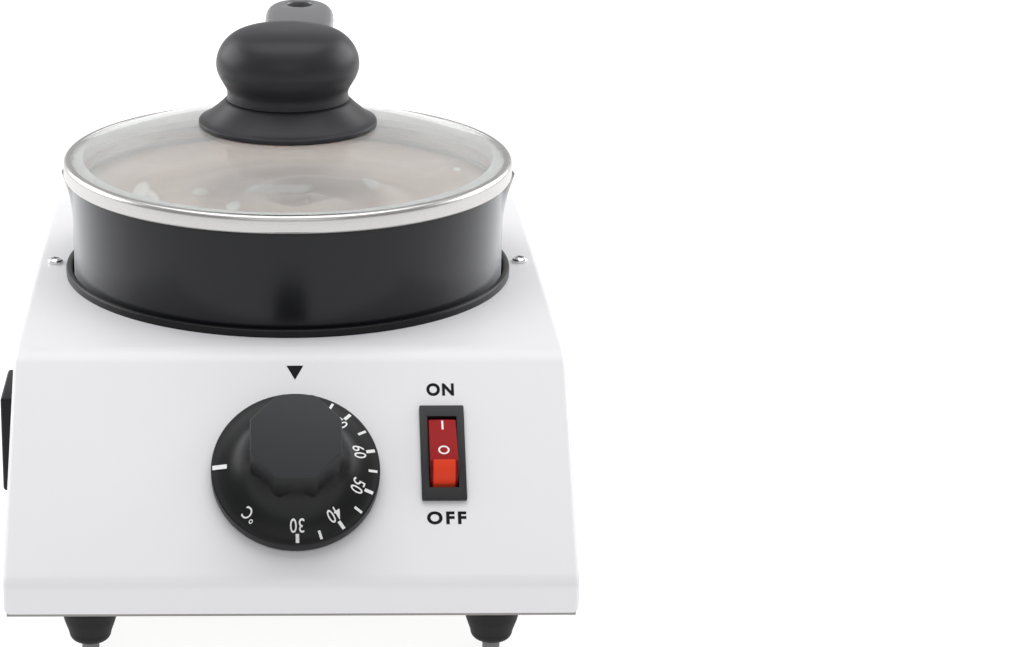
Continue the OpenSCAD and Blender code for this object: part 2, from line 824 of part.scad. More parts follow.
module bulb_clip() {
  color(steel) in_frame() translate([0, 0, bulb_z + (bulb_len - clip_h) / 2]) difference() {
    union() {
      rotate(-90 - clip_turn) rotate_extrude(angle = 2 * clip_turn)
        translate([liner_r + seat_gap, 0]) square([clip_t, clip_h]);
      translate([0, bulb_y, 0]) cylinder(d = bulb_d + 2 * clip_t, h = clip_h);
    }
    translate([0, bulb_y, -cut]) cylinder(d = bulb_d + 2 * seat_gap, h = clip_h + 2 * cut);
    translate([0, 0, -cut]) cylinder(r = liner_r + seat_gap, h = clip_h + 2 * cut);
  }
}
module capillary_tube() {
  back = -sheet_t - thermostat_depth;
  color([0.72, 0.5, 0.36]) in_frame() tube(eased([
    [0, bulb_y, bulb_z],
    [0, bulb_y, bulb_z - 8],
    [dial_x + 10, bulb_y - 8, bulb_z - 11],
    panel_pt(dial_x + 10, dial_q - 8, back - 8),
    panel_pt(dial_x + 10, dial_q - 8, back)
  ], 3), capillary_d);
}

// Switch
module switch_body() {
  color(black_plastic) in_frame() on_panel(switch_x, switch_q) difference() {
    union() {
      slab(bezel_w, bezel_len, bezel_t);
      translate([0, 0, -switch_depth]) slab(switch_w, switch_len, switch_depth + cut / 2);
    }
    translate([0, 0, -cut]) slab(window_w, window_len, bezel_t + 2 * cut);
    translate([0, 0, pivot_z - pocket_low])
      slab(window_w, 2 * pocket_half, pocket_low - pivot_z + bezel_t - frame_lip);
    translate([0, 0, pivot_z]) rotate([0, 90, 0])
      cylinder(r = trunnion_r + run_gap, h = switch_w + 2 * cut, center = true);
  }
}
module switch_terminals() {
  color(brass) in_frame() on_panel(switch_x, switch_q) for (s = [-1, 1])
    translate([0, s * switch_tab_q, -switch_depth - tab_len]) slab(tab_w, tab_t, tab_len);
}
module rocker() {
  color([0.75, 0.1, 0.08]) in_frame() on_panel(switch_x, switch_q)
    translate([0, 0, pivot_z]) rotate([-rocker_tilt, 0, 0]) {
      across(rocker_w) difference() {
        intersection() {
          circle(r = rocker_r);
          translate([-rocker_cut, -rocker_back]) square([2 * rocker_cut, rocker_back + face_h]);
        }
        for (s = [-1, 1]) scale([s, 1]) rocker_bevel();
      }
      rotate([0, 90, 0]) cylinder(r = trunnion_r, h = rocker_w + 2 * trunnion_len, center = true);
    }
}
module rocker_bevel() {
  low = -rocker_back - cut;
  out = rocker_cut + cut;
  polygon([[heel_x, low], [heel_x, heel_z], [rocker_cut, bevel_z], [out, bevel_z], [out, low]]);
}

// Power inlet
module power_inlet() {
  color(black_plastic) in_frame() on_inlet() difference() {
    union() {
      translate([0, 0, -inlet_out]) slab(inlet_h, inlet_w, inlet_out);
      translate([0, 0, -cut]) slab(inlet_body_h, inlet_body_w, inlet_in + cut);
    }
    translate([0, 0, -inlet_out - cut]) slab(socket_h, socket_w, socket_depth + cut);
    at_pins() slab(pin_t + 2 * seat_gap, pin_w + 2 * seat_gap, inlet_in + cut);
  }
}
module on_inlet() { translate([inlet_x, -inlet_y, inlet_z]) rotate([0, 90, 0]) children(); }
module at_pins() {
  for (s = [-1, 1]) translate([s * pin_step, 0, 0]) children();
  translate([0, -pin_earth, 0]) children();
}
module inlet_pins() {
  length = inlet_out - pin_short + inlet_in + pin_past;
  color(brass) in_frame() on_inlet() at_pins()
    translate([0, 0, pin_short - inlet_out]) slab(pin_t, pin_w, length);
}

// Connections
module terminal_block() {
  color([0.86, 0.84, 0.78]) in_frame() translate([block_at.x, block_at.y, shell_z]) difference() {
    slab(block_size.x, block_size.y, block_size.z);
    for (i = [-1 : 1]) translate([i * block_pole, 0, block_hole_z - shell_z]) {
      rotate([90, 0, 0]) cylinder(r = block_hole_r, h = block_size.y + 2 * cut, center = true);
      cylinder(r = block_screw_r, h = block_size.z);
    }
  }
}
module earth_stud() {
  color(brass) in_frame() translate([earth_at.x, earth_at.y, base_z]) rotate([180, 0, 0])
    screw(screw_r, base_t + earth_stud_len, screw_head_r, screw_head_h);
}
module earth_nut() {
  color(brass) in_frame() translate([earth_at.x, earth_at.y, shell_z]) nut(screw_r);
}
function thermostat_tip(s, h) = panel_pt(
  dial_x + s * thermostat_tab_x,
  dial_q + thermostat_tab_q,
  -sheet_t - thermostat_depth - tab_len - h
);
function switch_tip(s, h) = panel_pt(switch_x, switch_q - s * switch_tab_q, -switch_depth - tab_len - h);
function inlet_tip(y, z, h) = [tab_tip_x + h, -inlet_y + y, inlet_z + z];
function cutout_tip(s, h) = [s * cutout_tab_x, cutout_y, cutout_z - cutout_tab_len - h];
wire_z = shield_z + shield_t + wire_d + 1;
wire_x = 14;
module wires_live() {
  front = -liner_r - 9;
  color([0.45, 0.27, 0.16]) in_frame() {
    tube(eased([
      inlet_tip(0, pin_step, 0),
      inlet_tip(0, pin_step, 6),
      [inlet_tip(0, 0, 6).x, front, inlet_z + 8],
      [switch_x - 8, front, switch_tip(1, 10).z],
      switch_tip(1, 8),
      switch_tip(1, 0)
    ], 3), wire_d);
    tube(eased([
      switch_tip(-1, 0),
      switch_tip(-1, 5),
      thermostat_tip(1, 5) + [14, 6, 0],
      thermostat_tip(1, 5),
      thermostat_tip(1, 0)
    ], 2), wire_d);
    tube(eased([
      thermostat_tip(-1, 0),
      thermostat_tip(-1, 5),
      [-wire_x, -liner_r, wire_z],
      [-wire_x, cutout_y - 12, wire_z],
      cutout_tip(-1, 3.5),
      cutout_tip(-1, 0)
    ], 1.6), wire_d);
    tube(eased([
      cutout_tip(1, 0),
      cutout_tip(1, 3.5),
      [wire_x, cutout_y - 12, wire_z],
      [wire_x, -coil_r + heater_bow, wire_z],
      coil_pin_end(1) + [-4, 4, -6],
      coil_pin_end(1) + [-3.4, -0.9, 0],
      coil_pin_end(1)
    ], 1.6), wire_d);
  }
}
module wires_neutral() {
  back_y = block_at.y + block_size.y / 2;
  left_x = block_at.x - block_pole;
  color([0.2, 0.32, 0.6]) in_frame() {
    tube(eased([
      inlet_tip(0, -pin_step, 0),
      inlet_tip(0, -pin_step, 5),
      [left_x, back_y, block_hole_z] + neutral_bow,
      [left_x, back_y + 7, block_hole_z],
      [left_x, back_y, block_hole_z]
    ], 3), wire_d);
    tube(eased([
      [block_at.x, back_y, block_hole_z],
      [block_at.x, back_y + 10, block_hole_z],
      [-26, -liner_r, coil_z - 6],
      [-wire_x, -coil_r - heater_bow, coil_z - 3],
      coil_pin_end(-1) + [4, -8, -3],
      coil_pin_end(-1) + [3.4, -0.9, 0],
      coil_pin_end(-1)
    ], 1.6), wire_d);
  }
}
module earth_tag() {
  color(brass) in_frame() translate([earth_at.x, earth_at.y, shell_z + nut_h]) difference() {
    union() {
      cylinder(r = tag_r, h = tag_t);
      translate([0, (barrel_y + tag_r - tag_t) / 2, 0])
        slab(wire_d + 2 * barrel_wall, barrel_y - tag_r + tag_t, barrel_h);
    }
    translate([0, 0, -cut]) cylinder(r = screw_r + seat_gap, h = barrel_h + 2 * cut);
  }
}
module wire_earth() {
  tag_z = shell_z + nut_h + barrel_h / 2;
  color([0.35, 0.6, 0.2]) in_frame() tube(eased([
    inlet_tip(-pin_earth, 0, 0),
    inlet_tip(-pin_earth, 0, 5),
    [earth_at.x, earth_at.y, tag_z] + earth_bow,
    [earth_at.x, earth_at.y + barrel_y + 6, tag_z],
    [earth_at.x, earth_at.y + barrel_y, tag_z]
  ], 3), wire_d);
}

// Pan
module turned() { in_frame() rotate(pan_turn) children(); }
module on_handle() { turned() translate([0, pan_r, handle_z]) rotate([handle_rise, 0, 0]) children(); }
module spout(wall, extra) {
  low_r = spout_r - spout_out - wall;
  top_r = spout_r - wall + extra * spout_out / spout_h;
  for (s = [-1, 1]) translate([s * (pan_r + spout_out - spout_r), 0, rim_z - spout_h])
    cylinder(r1 = low_r, r2 = top_r, h = spout_h + extra);
}
module pan_shell() {
  color(black_coat) turned() difference() {
    union() {
      rotate_extrude() polygon(concat(
        [[0, pan_z]],
        bend([pan_r - pan_round, pan_z], [pan_r, pan_z], [pan_r, pan_z + pan_round]),
        [[pan_r, rim_z], [0, rim_z]]
      ));
      spout(0, 0);
    }
    rotate_extrude() polygon(concat(
      [[0, pan_floor_z]],
      bend([pan_in - pan_round_in, pan_floor_z], [pan_in, pan_floor_z], [pan_in, pan_floor_z + pan_round_in]),
      [[pan_in, rim_z + cut], [0, rim_z + cut]]
    ));
    spout(pan_wall, cut);
    at_rivets() rotate([0, 90, 0]) drill(rivet_r + seat_gap);
  }
}
module melted_chocolate() {
  top = rim_z - choc_drop;
  low = pan_floor_z + seat_gap;
  out = pan_in - seat_gap;
  color([0.42, 0.27, 0.2]) turned() difference() {
    rotate_extrude() polygon(concat(
      [[0, low]],
      bend([out - pan_round_in, low], [out, low], [out, low + pan_round_in]),
      [[out, top]],
      curve([out - choc_flat, top], [out * hollow_out, top], [out * hollow_in, top - stir_dip],
        [0, top - stir_dip])
    ));
    at_rivets() rotate([0, 90, 0]) translate([0, 0, -pan_wall - rivet_seat - rivet_head_h - seat_gap])
      cylinder(r = rivet_head_r + rivet_room, h = rivet_head_h + pan_wall);
  }
}
module at_rivets() {
  for (s = [-1, 1]) rotate(90 + s * rivet_turn) translate([pan_r, 0, handle_z]) children();
}
module handle_bracket() {
  color(steel) difference() {
    union() {
      turned() translate([0, 0, handle_z - pad_h / 2]) rotate(90 - pad_half)
        rotate_extrude(angle = 2 * pad_half) translate([pan_r + seat_gap, 0]) square([pad_t, pad_h]);
      on_handle() translate([-tang_w / 2, pad_t / 2, -tang_t / 2])
        cube([tang_w, tang_end - pad_t / 2, tang_t]);
    }
    turned() at_rivets() rotate([0, 90, 0]) drill(rivet_r + seat_gap);
    on_handle() translate([0, handle_screw_y, 0]) screw_hole();
  }
}
module bracket_rivets() {
  color([0.8, 0.8, 0.8]) turned() at_rivets() rotate([0, 90, 0]) {
    translate([0, 0, -pan_wall - rivet_seat]) cylinder(r = rivet_r, h = pan_wall + pad_t + 2 * rivet_seat);
    translate([0, 0, pad_t + rivet_seat]) cylinder(r = rivet_head_r, h = rivet_head_h);
    translate([0, 0, -pan_wall - rivet_seat - rivet_head_h]) cylinder(r = rivet_head_r, h = rivet_head_h);
  }
}
module tang_hole(extra) {
  translate([-tang_w / 2 - seat_gap, -cut, -tang_t / 2 - seat_gap])
    cube([tang_w + 2 * seat_gap, tang_end + extra + cut, tang_t + 2 * seat_gap]);
}
module handle_ferrule() {
  color(steel) on_handle() difference() {
    translate([0, ferrule_start, 0]) rotate([-90, 0, 0]) slab(handle_w, handle_t, ferrule_len);
    tang_hole(0);
  }
}
module pan_handle() {
  half_t = handle_t / 2;
  end_y = handle_len - handle_end_w / 2;
  color(black_plastic) on_handle() difference() {
    translate([0, 0, -half_t]) linear_extrude(handle_t) union() {
      polygon([
        [-handle_w / 2, grip_start], [handle_w / 2, grip_start], [handle_neck_w / 2, neck_y],
        [handle_end_w / 2, end_y], [-handle_end_w / 2, end_y], [-handle_neck_w / 2, neck_y]
      ]);
      translate([0, end_y]) circle(d = handle_end_w);
    }
    translate([0, hang_y, -handle_t]) cylinder(d = hang_hole_d, h = 2 * handle_t);
    tang_hole(seat_gap);
    translate([0, handle_screw_y, 0]) cylinder(r = screw_r + seat_gap, h = half_t - cut);
    translate([0, handle_screw_y, -handle_t]) cylinder(r = screw_r + seat_gap, h = handle_t);
    translate([0, handle_screw_y, -half_t - cut])
      cylinder(r = screw_head_r + hole_gap, h = screw_head_h + cut);
  }
}
module handle_screw() {
  color(steel) on_handle() translate([0, handle_screw_y, -handle_t / 2 + screw_head_h]) rotate([180, 0, 0])
    screw(screw_r, handle_t - screw_head_h - handle_thread_end, screw_head_r, screw_head_h);
}

// Lid
module lid_glass() {
  color([0.85, 0.88, 0.88, 0.35]) in_frame() difference() {
    rotate_extrude() polygon(concat(
      dome_arc(0, glass_r, 0),
      dome_arc(glass_r, 0, -glass_t)
    ));
    translate([0, 0, glass_top_z - 2 * glass_t]) cylinder(r = knob_hole_r, h = 4 * glass_t);
  }
}
module lid_band() {
  top = rim_z + band_h;
  color([0.8, 0.78, 0.76]) in_frame() rotate_extrude() polygon([
    [skirt_r - band_t, rim_z - skirt_drop], [skirt_r, rim_z - skirt_drop], [skirt_r, rim_z],
    [band_r, rim_z], [band_r, top - band_edge], [band_r - band_edge, top],
    [band_r - band_lip, top], [band_r - band_lip, top - band_t], [band_r - band_t, top - band_t],
    [band_r - band_t, rim_z + band_t], [skirt_r - band_t, rim_z + band_t]
  ]);
}
module lid_gasket() {
  color([0.86, 0.86, 0.85]) in_frame() rotate_extrude() polygon([
    [gasket_in, rim_z + band_t], [glass_r, rim_z + band_t],
    [glass_r, dome_at(glass_r, -glass_t) - seat_gap], [gasket_in, dome_at(gasket_in, -glass_t) - seat_gap]
  ]);
}
module knob_base() {
  rim_low = dome_at(knob_base_r, seat_gap);
  rim_top = rim_low + knob_rim_h;
  color(black_plastic) in_frame() difference() {
    rotate_extrude() polygon(concat(
      dome_arc(0, knob_base_r - knob_rim_edge, seat_gap),
      [[knob_base_r, rim_low + knob_rim_edge], [knob_base_r, rim_top]],
      curve([knob_base_r - 0.3, rim_top + 0.5], [knob_base_r - 2, rim_top + 3.4],
        [neck_r + 4.5, crease_z - 1.6], [neck_r, crease_z]),
      [[0, crease_z]]
    ));
    translate([0, 0, glass_top_z - cut]) cylinder(r = knob_hole_r, h = knob_base_h + 2 * cut);
  }
}
module lid_knob() {
  color(black_plastic) in_frame() difference() {
    rotate_extrude() polygon(concat(
      [[0, crease_z], [neck_r, crease_z]],
      curve([neck_r, crease_z + 3], [neck_r + 0.3, crease_z + 6], [ball_r, crease_z + 9], [ball_r, ball_z]),
      curve([ball_r, ball_z + 0.2], [ball_r, ball_z + 7], [ball_r * 0.78, knob_top_z], [0, knob_top_z])
    ));
    translate([0, 0, crease_z - cut]) cylinder(r = knob_screw_r + seat_gap, h = knob_thread + cut);
  }
}
washer_z = dome_at(washer_r, -glass_t) - washer_t - seat_gap;
module knob_screw() {
  color(steel) in_frame() {
    translate([0, 0, washer_z])
      cylinder(r = knob_screw_r, h = crease_z + knob_thread - seat_gap - washer_z);
    translate([0, 0, washer_z - knob_head_h]) cylinder(r = knob_head_r, h = knob_head_h);
  }
}
module knob_washer() {
  color([0.86, 0.86, 0.85]) in_frame() translate([0, 0, washer_z])
    ring(washer_r, knob_screw_r + seat_gap, washer_t);
}

housing_shell();
base_plate();
base_screws();
foot_front_left();
foot_front_right();
foot_back_left();
foot_back_right();
foot_pads();
foot_screws();
foot_nuts();
well_liner();
well_strap();
top_screws();
strap_nuts();
hot_plate();
heating_coil();
coil_terminals();
clamp_stud();
clamp_nut();
thermal_cutout();
heat_shield();
shield_spacers();
shield_screws();
thermostat_body();
thermostat_screws();
thermostat_terminals();
capillary_tube();
sensor_bulb();
bulb_clip();
switch_body();
switch_terminals();
power_inlet();
inlet_pins();
terminal_block();
earth_stud();
earth_nut();
earth_tag();
wires_live();
wires_neutral();
wire_earth();
dial();
dial_spindle();
rocker();
pan_shell();
melted_chocolate();
handle_bracket();
bracket_rivets();
handle_ferrule();
pan_handle();
handle_screw();
lid_glass();
lid_band();
lid_gasket();
knob_base();
lid_knob();
knob_screw();
knob_washer();
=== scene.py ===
import json
import math

import bpy
from mathutils import Matrix, Vector


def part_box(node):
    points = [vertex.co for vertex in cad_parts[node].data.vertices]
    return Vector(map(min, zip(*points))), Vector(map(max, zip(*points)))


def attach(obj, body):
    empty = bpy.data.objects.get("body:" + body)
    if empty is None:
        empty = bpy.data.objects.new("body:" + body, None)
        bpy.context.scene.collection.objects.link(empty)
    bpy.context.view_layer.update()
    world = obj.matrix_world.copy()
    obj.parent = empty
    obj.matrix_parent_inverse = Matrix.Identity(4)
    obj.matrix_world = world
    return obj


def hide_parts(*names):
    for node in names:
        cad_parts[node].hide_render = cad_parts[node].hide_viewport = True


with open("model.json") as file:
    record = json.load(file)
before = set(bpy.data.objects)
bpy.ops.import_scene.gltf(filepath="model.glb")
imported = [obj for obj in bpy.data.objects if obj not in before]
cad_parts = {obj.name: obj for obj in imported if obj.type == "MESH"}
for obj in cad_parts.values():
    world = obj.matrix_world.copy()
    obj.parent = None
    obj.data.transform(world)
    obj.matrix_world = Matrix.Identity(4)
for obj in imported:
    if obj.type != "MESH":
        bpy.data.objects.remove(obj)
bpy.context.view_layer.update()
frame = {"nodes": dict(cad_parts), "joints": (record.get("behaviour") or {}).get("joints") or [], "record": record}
mm = 0.001
hair = 0.01 * mm  # tolerance when edges and faces are picked

# places that the frame gives
jointNamed = {joint["name"]: joint for joint in frame["joints"]}
dialSpot = Vector(jointNamed["dial_turn"]["pos_m"])
panelNormal = Vector(jointNamed["dial_turn"]["axis"])
panelTilt = math.atan2(-panelNormal.y, panelNormal.z)
rockerSpot = Vector(jointNamed["rocker_tilt"]["pos_m"])
housingLow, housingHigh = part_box("housing_shell")
plateZ = housingHigh.z
potAxis = (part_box("lid_knob")[0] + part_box("lid_knob")[1]) / 2
onPanel = Matrix.Translation(dialSpot) @ Matrix.Rotation(panelTilt, 4, "X")
print("frame loaded", len(frame["nodes"]), "nodes")


photoCamera = {
    "place": (-2.7 * mm, -966.5 * mm, 375.6 * mm),
    "turn": (71.49, 0, -0.46),  # degrees
    "lens": 95.98,
    "shiftX": 0.2168,
}


def makeCamera():
    turn = [math.radians(angle) for angle in photoCamera["turn"]]
    bpy.ops.object.camera_add(location=photoCamera["place"], rotation=turn)
    camera = bpy.context.object
    camera.data.lens = photoCamera["lens"]
    camera.data.shift_x = photoCamera["shiftX"]
    bpy.context.scene.camera = camera


makeCamera()


# hand tools

def onlyThis(obj):
    bpy.ops.object.select_all(action="DESELECT")
    obj.select_set(True)
    bpy.context.view_layer.objects.active = obj


def drawLine(name, points):
    bpy.ops.object.select_all(action="DESELECT")
    bpy.ops.mesh.primitive_plane_add(size=mm)
    obj = bpy.context.object
    obj.name = name
    obj.data.name = name
    bpy.ops.object.mode_set(mode="EDIT")
    bpy.ops.mesh.select_mode(type="VERT")
    bpy.ops.mesh.select_all(action="SELECT")
    bpy.ops.mesh.merge(type="CENTER")
    bpy.ops.transform.translate(value=points[0])
    for here, there in zip(points, points[1:]):
        bpy.ops.mesh.extrude_vertices_move(TRANSFORM_OT_translate={"value": there - here})
    bpy.ops.mesh.select_all(action="SELECT")
    return obj


def tidyMesh(obj):
    onlyThis(obj)
    bpy.ops.object.mode_set(mode="EDIT")
    bpy.ops.mesh.select_all(action="SELECT")
    bpy.ops.mesh.remove_doubles(threshold=0.002 * mm)
    bpy.ops.mesh.normals_make_consistent(inside=False)
    bpy.ops.object.mode_set(mode="OBJECT")


def softCorners(points, closed=False, steps=6):
    line = []
    for i, (u, v, radius) in enumerate(points):
        here = Vector((u, v))
        if not radius or (not closed and i in (0, len(points) - 1)):
            line.append(here)
            continue
        back = (Vector(points[i - 1][:2]) - here).normalized()
        ahead = (Vector(points[(i + 1) % len(points)][:2]) - here).normalized()
        half = back.angle(ahead) / 2
        centre = here + (back + ahead).normalized() * radius / math.sin(half)
        first = here + back * radius / math.tan(half) - centre
        last = here + ahead * radius / math.tan(half) - centre
        start = math.atan2(first.y, first.x)
        turn = math.atan2(first.x * last.y - first.y * last.x, first.dot(last))
        for k in range(steps + 1):
            angle = start + turn * k / steps
            line.append(centre + radius * Vector((math.cos(angle), math.sin(angle))))
    return line


def turned(name, line, axis=potAxis, steps=96):
    obj = drawLine(name, [Vector((axis.x + r, axis.y, z)) for r, z in line])
    bpy.ops.mesh.spin(steps=steps, angle=2 * math.pi, center=(axis.x, axis.y, 0), axis=(0, 0, 1))
    bpy.ops.object.mode_set(mode="OBJECT")
    tidyMesh(obj)
    return obj


def slabOf(name, points, push):
    obj = drawLine(name, points)
    bpy.ops.mesh.edge_face_add()
    bpy.ops.mesh.extrude_region_move(TRANSFORM_OT_translate={"value": push})
    bpy.ops.object.mode_set(mode="OBJECT")
    tidyMesh(obj)
    return obj


def startPick(obj, kind):
    onlyThis(obj)
    bpy.ops.object.mode_set(mode="EDIT")
    bpy.ops.mesh.select_mode(type=kind)
    bpy.ops.mesh.select_all(action="DESELECT")
    bpy.ops.object.mode_set(mode="OBJECT")


def pickEdges(obj, wanted):
    startPick(obj, "EDGE")
    spots = obj.data.vertices
    for edge in obj.data.edges:
        edge.select = wanted(spots[edge.vertices[0]].co, spots[edge.vertices[1]].co)
    bpy.ops.object.mode_set(mode="EDIT")


def pickFaces(obj, wanted):
    startPick(obj, "FACE")
    for face in obj.data.polygons:
        face.select = wanted(face)
    bpy.ops.object.mode_set(mode="EDIT")


def bevelPicked(width, segments=4):
    bpy.ops.mesh.bevel(offset=width, segments=segments, affect="EDGES")
    bpy.ops.object.mode_set(mode="OBJECT")


def withModifier(obj, kind, **settings):
    onlyThis(obj)
    modifier = obj.modifiers.new(kind.lower(), kind)
    for key, value in settings.items():
        setattr(modifier, key, value)
    bpy.ops.object.modifier_apply(modifier=modifier.name)


def cutAway(obj, cutter):
    withModifier(obj, "BOOLEAN", operation="DIFFERENCE", solver="EXACT", object=cutter)
    bpy.data.objects.remove(cutter)


def placed(obj, matrix):
    onlyThis(obj)
    obj.matrix_world = matrix @ obj.matrix_world
    bpy.ops.object.transform_apply(location=True, rotation=True, scale=True)
    return obj


def joined(name, *objs):
    onlyThis(objs[0])
    for obj in objs:
        obj.select_set(True)
    bpy.ops.object.join()
    obj = bpy.context.object
    obj.name = name
    return obj


def copied(obj, name):
    twin = obj.copy()
    twin.data = obj.data.copy()
    twin.name = name
    bpy.context.collection.objects.link(twin)
    return twin


def finishPiece(obj, body, material, angle=35):
    onlyThis(obj)
    bpy.ops.object.transform_apply(location=True, rotation=True, scale=True)
    obj.data.materials.clear()
    obj.data.materials.append(material)
    bpy.ops.object.shade_smooth_by_angle(angle=math.radians(angle))
    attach(obj, body)


# the shader group that the finishes share

grainLook = {
    "fineDetail": 1,
    "patches": 35,  # per metre
    "patchDetail": 2,
    "patchRange": (0.1, 0.9),
}


def makeGrainGroup():
    group = bpy.data.node_groups.new("fineGrain", "ShaderNodeTree")
    group.interface.new_socket("Vector", in_out="INPUT", socket_type="NodeSocketVector")
    group.interface.new_socket("Scale", in_out="INPUT", socket_type="NodeSocketFloat")
    group.interface.new_socket("Mask", in_out="OUTPUT", socket_type="NodeSocketFloat")
    group.interface.new_socket("Height", in_out="OUTPUT", socket_type="NodeSocketFloat")
    given, result = group.nodes.new("NodeGroupInput"), group.nodes.new("NodeGroupOutput")
    fine = group.nodes.new("ShaderNodeTexNoise")
    fine.inputs["Detail"].default_value = grainLook["fineDetail"]
    broad = group.nodes.new("ShaderNodeTexNoise")
    broad.inputs["Scale"].default_value = grainLook["patches"]
    broad.inputs["Detail"].default_value = grainLook["patchDetail"]
    spread = group.nodes.new("ShaderNodeMapRange")
    spread.inputs["From Min"].default_value = grainLook["patchRange"][0]
    spread.inputs["From Max"].default_value = grainLook["patchRange"][1]
    group.links.new(given.outputs["Vector"], fine.inputs["Vector"])
    group.links.new(given.outputs["Scale"], fine.inputs["Scale"])
    group.links.new(given.outputs["Vector"], broad.inputs["Vector"])
    group.links.new(broad.outputs["Fac"], spread.inputs["Value"])
    group.links.new(spread.outputs["Result"], result.inputs["Mask"])
    group.links.new(fine.outputs["Fac"], result.inputs["Height"])
    return group


grainGroup = makeGrainGroup()


def addGrain(tree, vector, scale):
    node = tree.nodes.new("ShaderNodeGroup")
    node.node_tree = grainGroup
    tree.links.new(vector, node.inputs["Vector"])
    node.inputs["Scale"].default_value = scale
    return node


def mixColour(tree, factor, first, second):
    node = tree.nodes.new("ShaderNodeMix")
    node.data_type = "RGBA"
    tree.links.new(factor, node.inputs["Factor"])
    for socket, colour in ((node.inputs[6], first), (node.inputs[7], second)):
        if isinstance(colour, tuple):
            socket.default_value = (*colour, 1)
        else:
            tree.links.new(colour, socket)
    return node.outputs[2]


def mapped(tree, value, low, high, fromLow=0.0, fromHigh=1.0):
    node = tree.nodes.new("ShaderNodeMapRange")
    node.inputs["From Min"].default_value = fromLow
    node.inputs["From Max"].default_value = fromHigh
    node.inputs["To Min"].default_value = low
    node.inputs["To Max"].default_value = high
    tree.links.new(value, node.inputs["Value"])
    return node.outputs["Result"]


def attribute(tree, name):
    node = tree.nodes.new("ShaderNodeAttribute")
    node.attribute_name = name
    return node.outputs["Fac"]


def linkRough(tree, shader, value, span):
    tree.links.new(mapped(tree, value, *span), shader.inputs["Roughness"])


def newMaterial(name):
    material = bpy.data.materials.new(name)
    material.use_nodes = True
    tree = material.node_tree
    coords = tree.nodes.new("ShaderNodeTexCoord")
    return material, tree, tree.nodes["Principled BSDF"], coords.outputs["Object"]


def addBump(tree, shader, height, depth):
    bump = tree.nodes.new("ShaderNodeBump")
    bump.inputs["Strength"].default_value = 1
    bump.inputs["Distance"].default_value = depth
    tree.links.new(height, bump.inputs["Height"])
    tree.links.new(bump.outputs["Normal"], shader.inputs["Normal"])


# colour, colour in the patches, metallic, roughness from and to, grain per metre, grain depth in mm, gloss
finishes = {
    "white_enamel": [(0.79, 0.785, 0.81), (0.786, 0.781, 0.806), 0, (0.32, 0.38), 240, 0.004, 0.5],
    "grey_plate": [(0.30, 0.29, 0.27), (0.26, 0.25, 0.24), 0, (0.4, 0.55), 500, 0.01, 0.5],
    "zinc_steel": [(0.62, 0.62, 0.60), (0.55, 0.55, 0.54), 1, (0.3, 0.45), 600, 0.01, 0.5],
    "bright_steel": [(0.82, 0.82, 0.83), (0.76, 0.76, 0.77), 1, (0.1, 0.2), 600, 0.004, 0.5],
    "foot_rubber": [(0.012, 0.012, 0.013), (0.009, 0.009, 0.01), 0, (0.5, 0.65), 600, 0.02, 0.25],
    "pad_rubber": [(0.22, 0.22, 0.22), (0.18, 0.18, 0.18), 0, (0.6, 0.75), 600, 0.02, 0.5],
    "black_coat": [(0.007, 0.007, 0.008), (0.005, 0.005, 0.006), 0, (0.28, 0.38), 500, 0.006, 0.25],
    "aluminium": [(0.72, 0.72, 0.73), (0.66, 0.66, 0.67), 1, (0.25, 0.4), 600, 0.01, 0.5],
    "heater_sheath": [(0.22, 0.18, 0.15), (0.14, 0.13, 0.14), 1, (0.4, 0.6), 400, 0.02, 0.5],
    "cutout_case": [(0.30, 0.22, 0.13), (0.25, 0.18, 0.1), 0, (0.5, 0.6), 600, 0.01, 0.5],
    "control_case": [(0.06, 0.06, 0.07), (0.045, 0.045, 0.05), 0, (0.45, 0.6), 600, 0.01, 0.5],
    "brass": [(0.72, 0.52, 0.22), (0.62, 0.44, 0.19), 1, (0.25, 0.4), 600, 0.01, 0.5],
    "copper": [(0.72, 0.36, 0.2), (0.55, 0.26, 0.15), 1, (0.25, 0.4), 600, 0.01, 0.5],
    "black_plastic": [(0.011, 0.011, 0.012), (0.009, 0.009, 0.01), 0, (0.38, 0.46), 650, 0.006, 0.2],
    "knob_satin": [(0.024, 0.024, 0.028), (0.02, 0.02, 0.023), 0, (0.34, 0.42), 650, 0.006, 0.24],
    "porcelain": [(0.75, 0.7, 0.6), (0.7, 0.65, 0.55), 0, (0.4, 0.5), 400, 0.01, 0.5],
    "brown_wire": [(0.12, 0.05, 0.025), (0.1, 0.04, 0.02), 0, (0.4, 0.5), 600, 0.01, 0.5],
    "blue_wire": [(0.03, 0.08, 0.32), (0.025, 0.06, 0.26), 0, (0.4, 0.5), 600, 0.01, 0.5],
    "green_wire": [(0.1, 0.32, 0.05), (0.08, 0.27, 0.04), 0, (0.4, 0.5), 600, 0.01, 0.5],
    "silicone": [(0.74, 0.75, 0.74), (0.7, 0.71, 0.7), 0, (0.4, 0.5), 500, 0.01, 0.5],
    "white_ink": [(0.84, 0.84, 0.84), (0.8, 0.8, 0.8), 0, (0.45, 0.55), 600, 0.002, 0.5],
    "black_ink": [(0.006, 0.006, 0.007), (0.009, 0.009, 0.01), 0, (0.5, 0.6), 600, 0.002, 0.1],
    "rocker_frame": [(0.022, 0.0225, 0.025), (0.018, 0.0185, 0.02), 0, (0.42, 0.5), 650, 0.006, 0.3],
    "handle_gloss": [(0.13, 0.13, 0.14), (0.12, 0.12, 0.13), 0, (0.2, 0.26), 300, 0.003, 0.6],
}


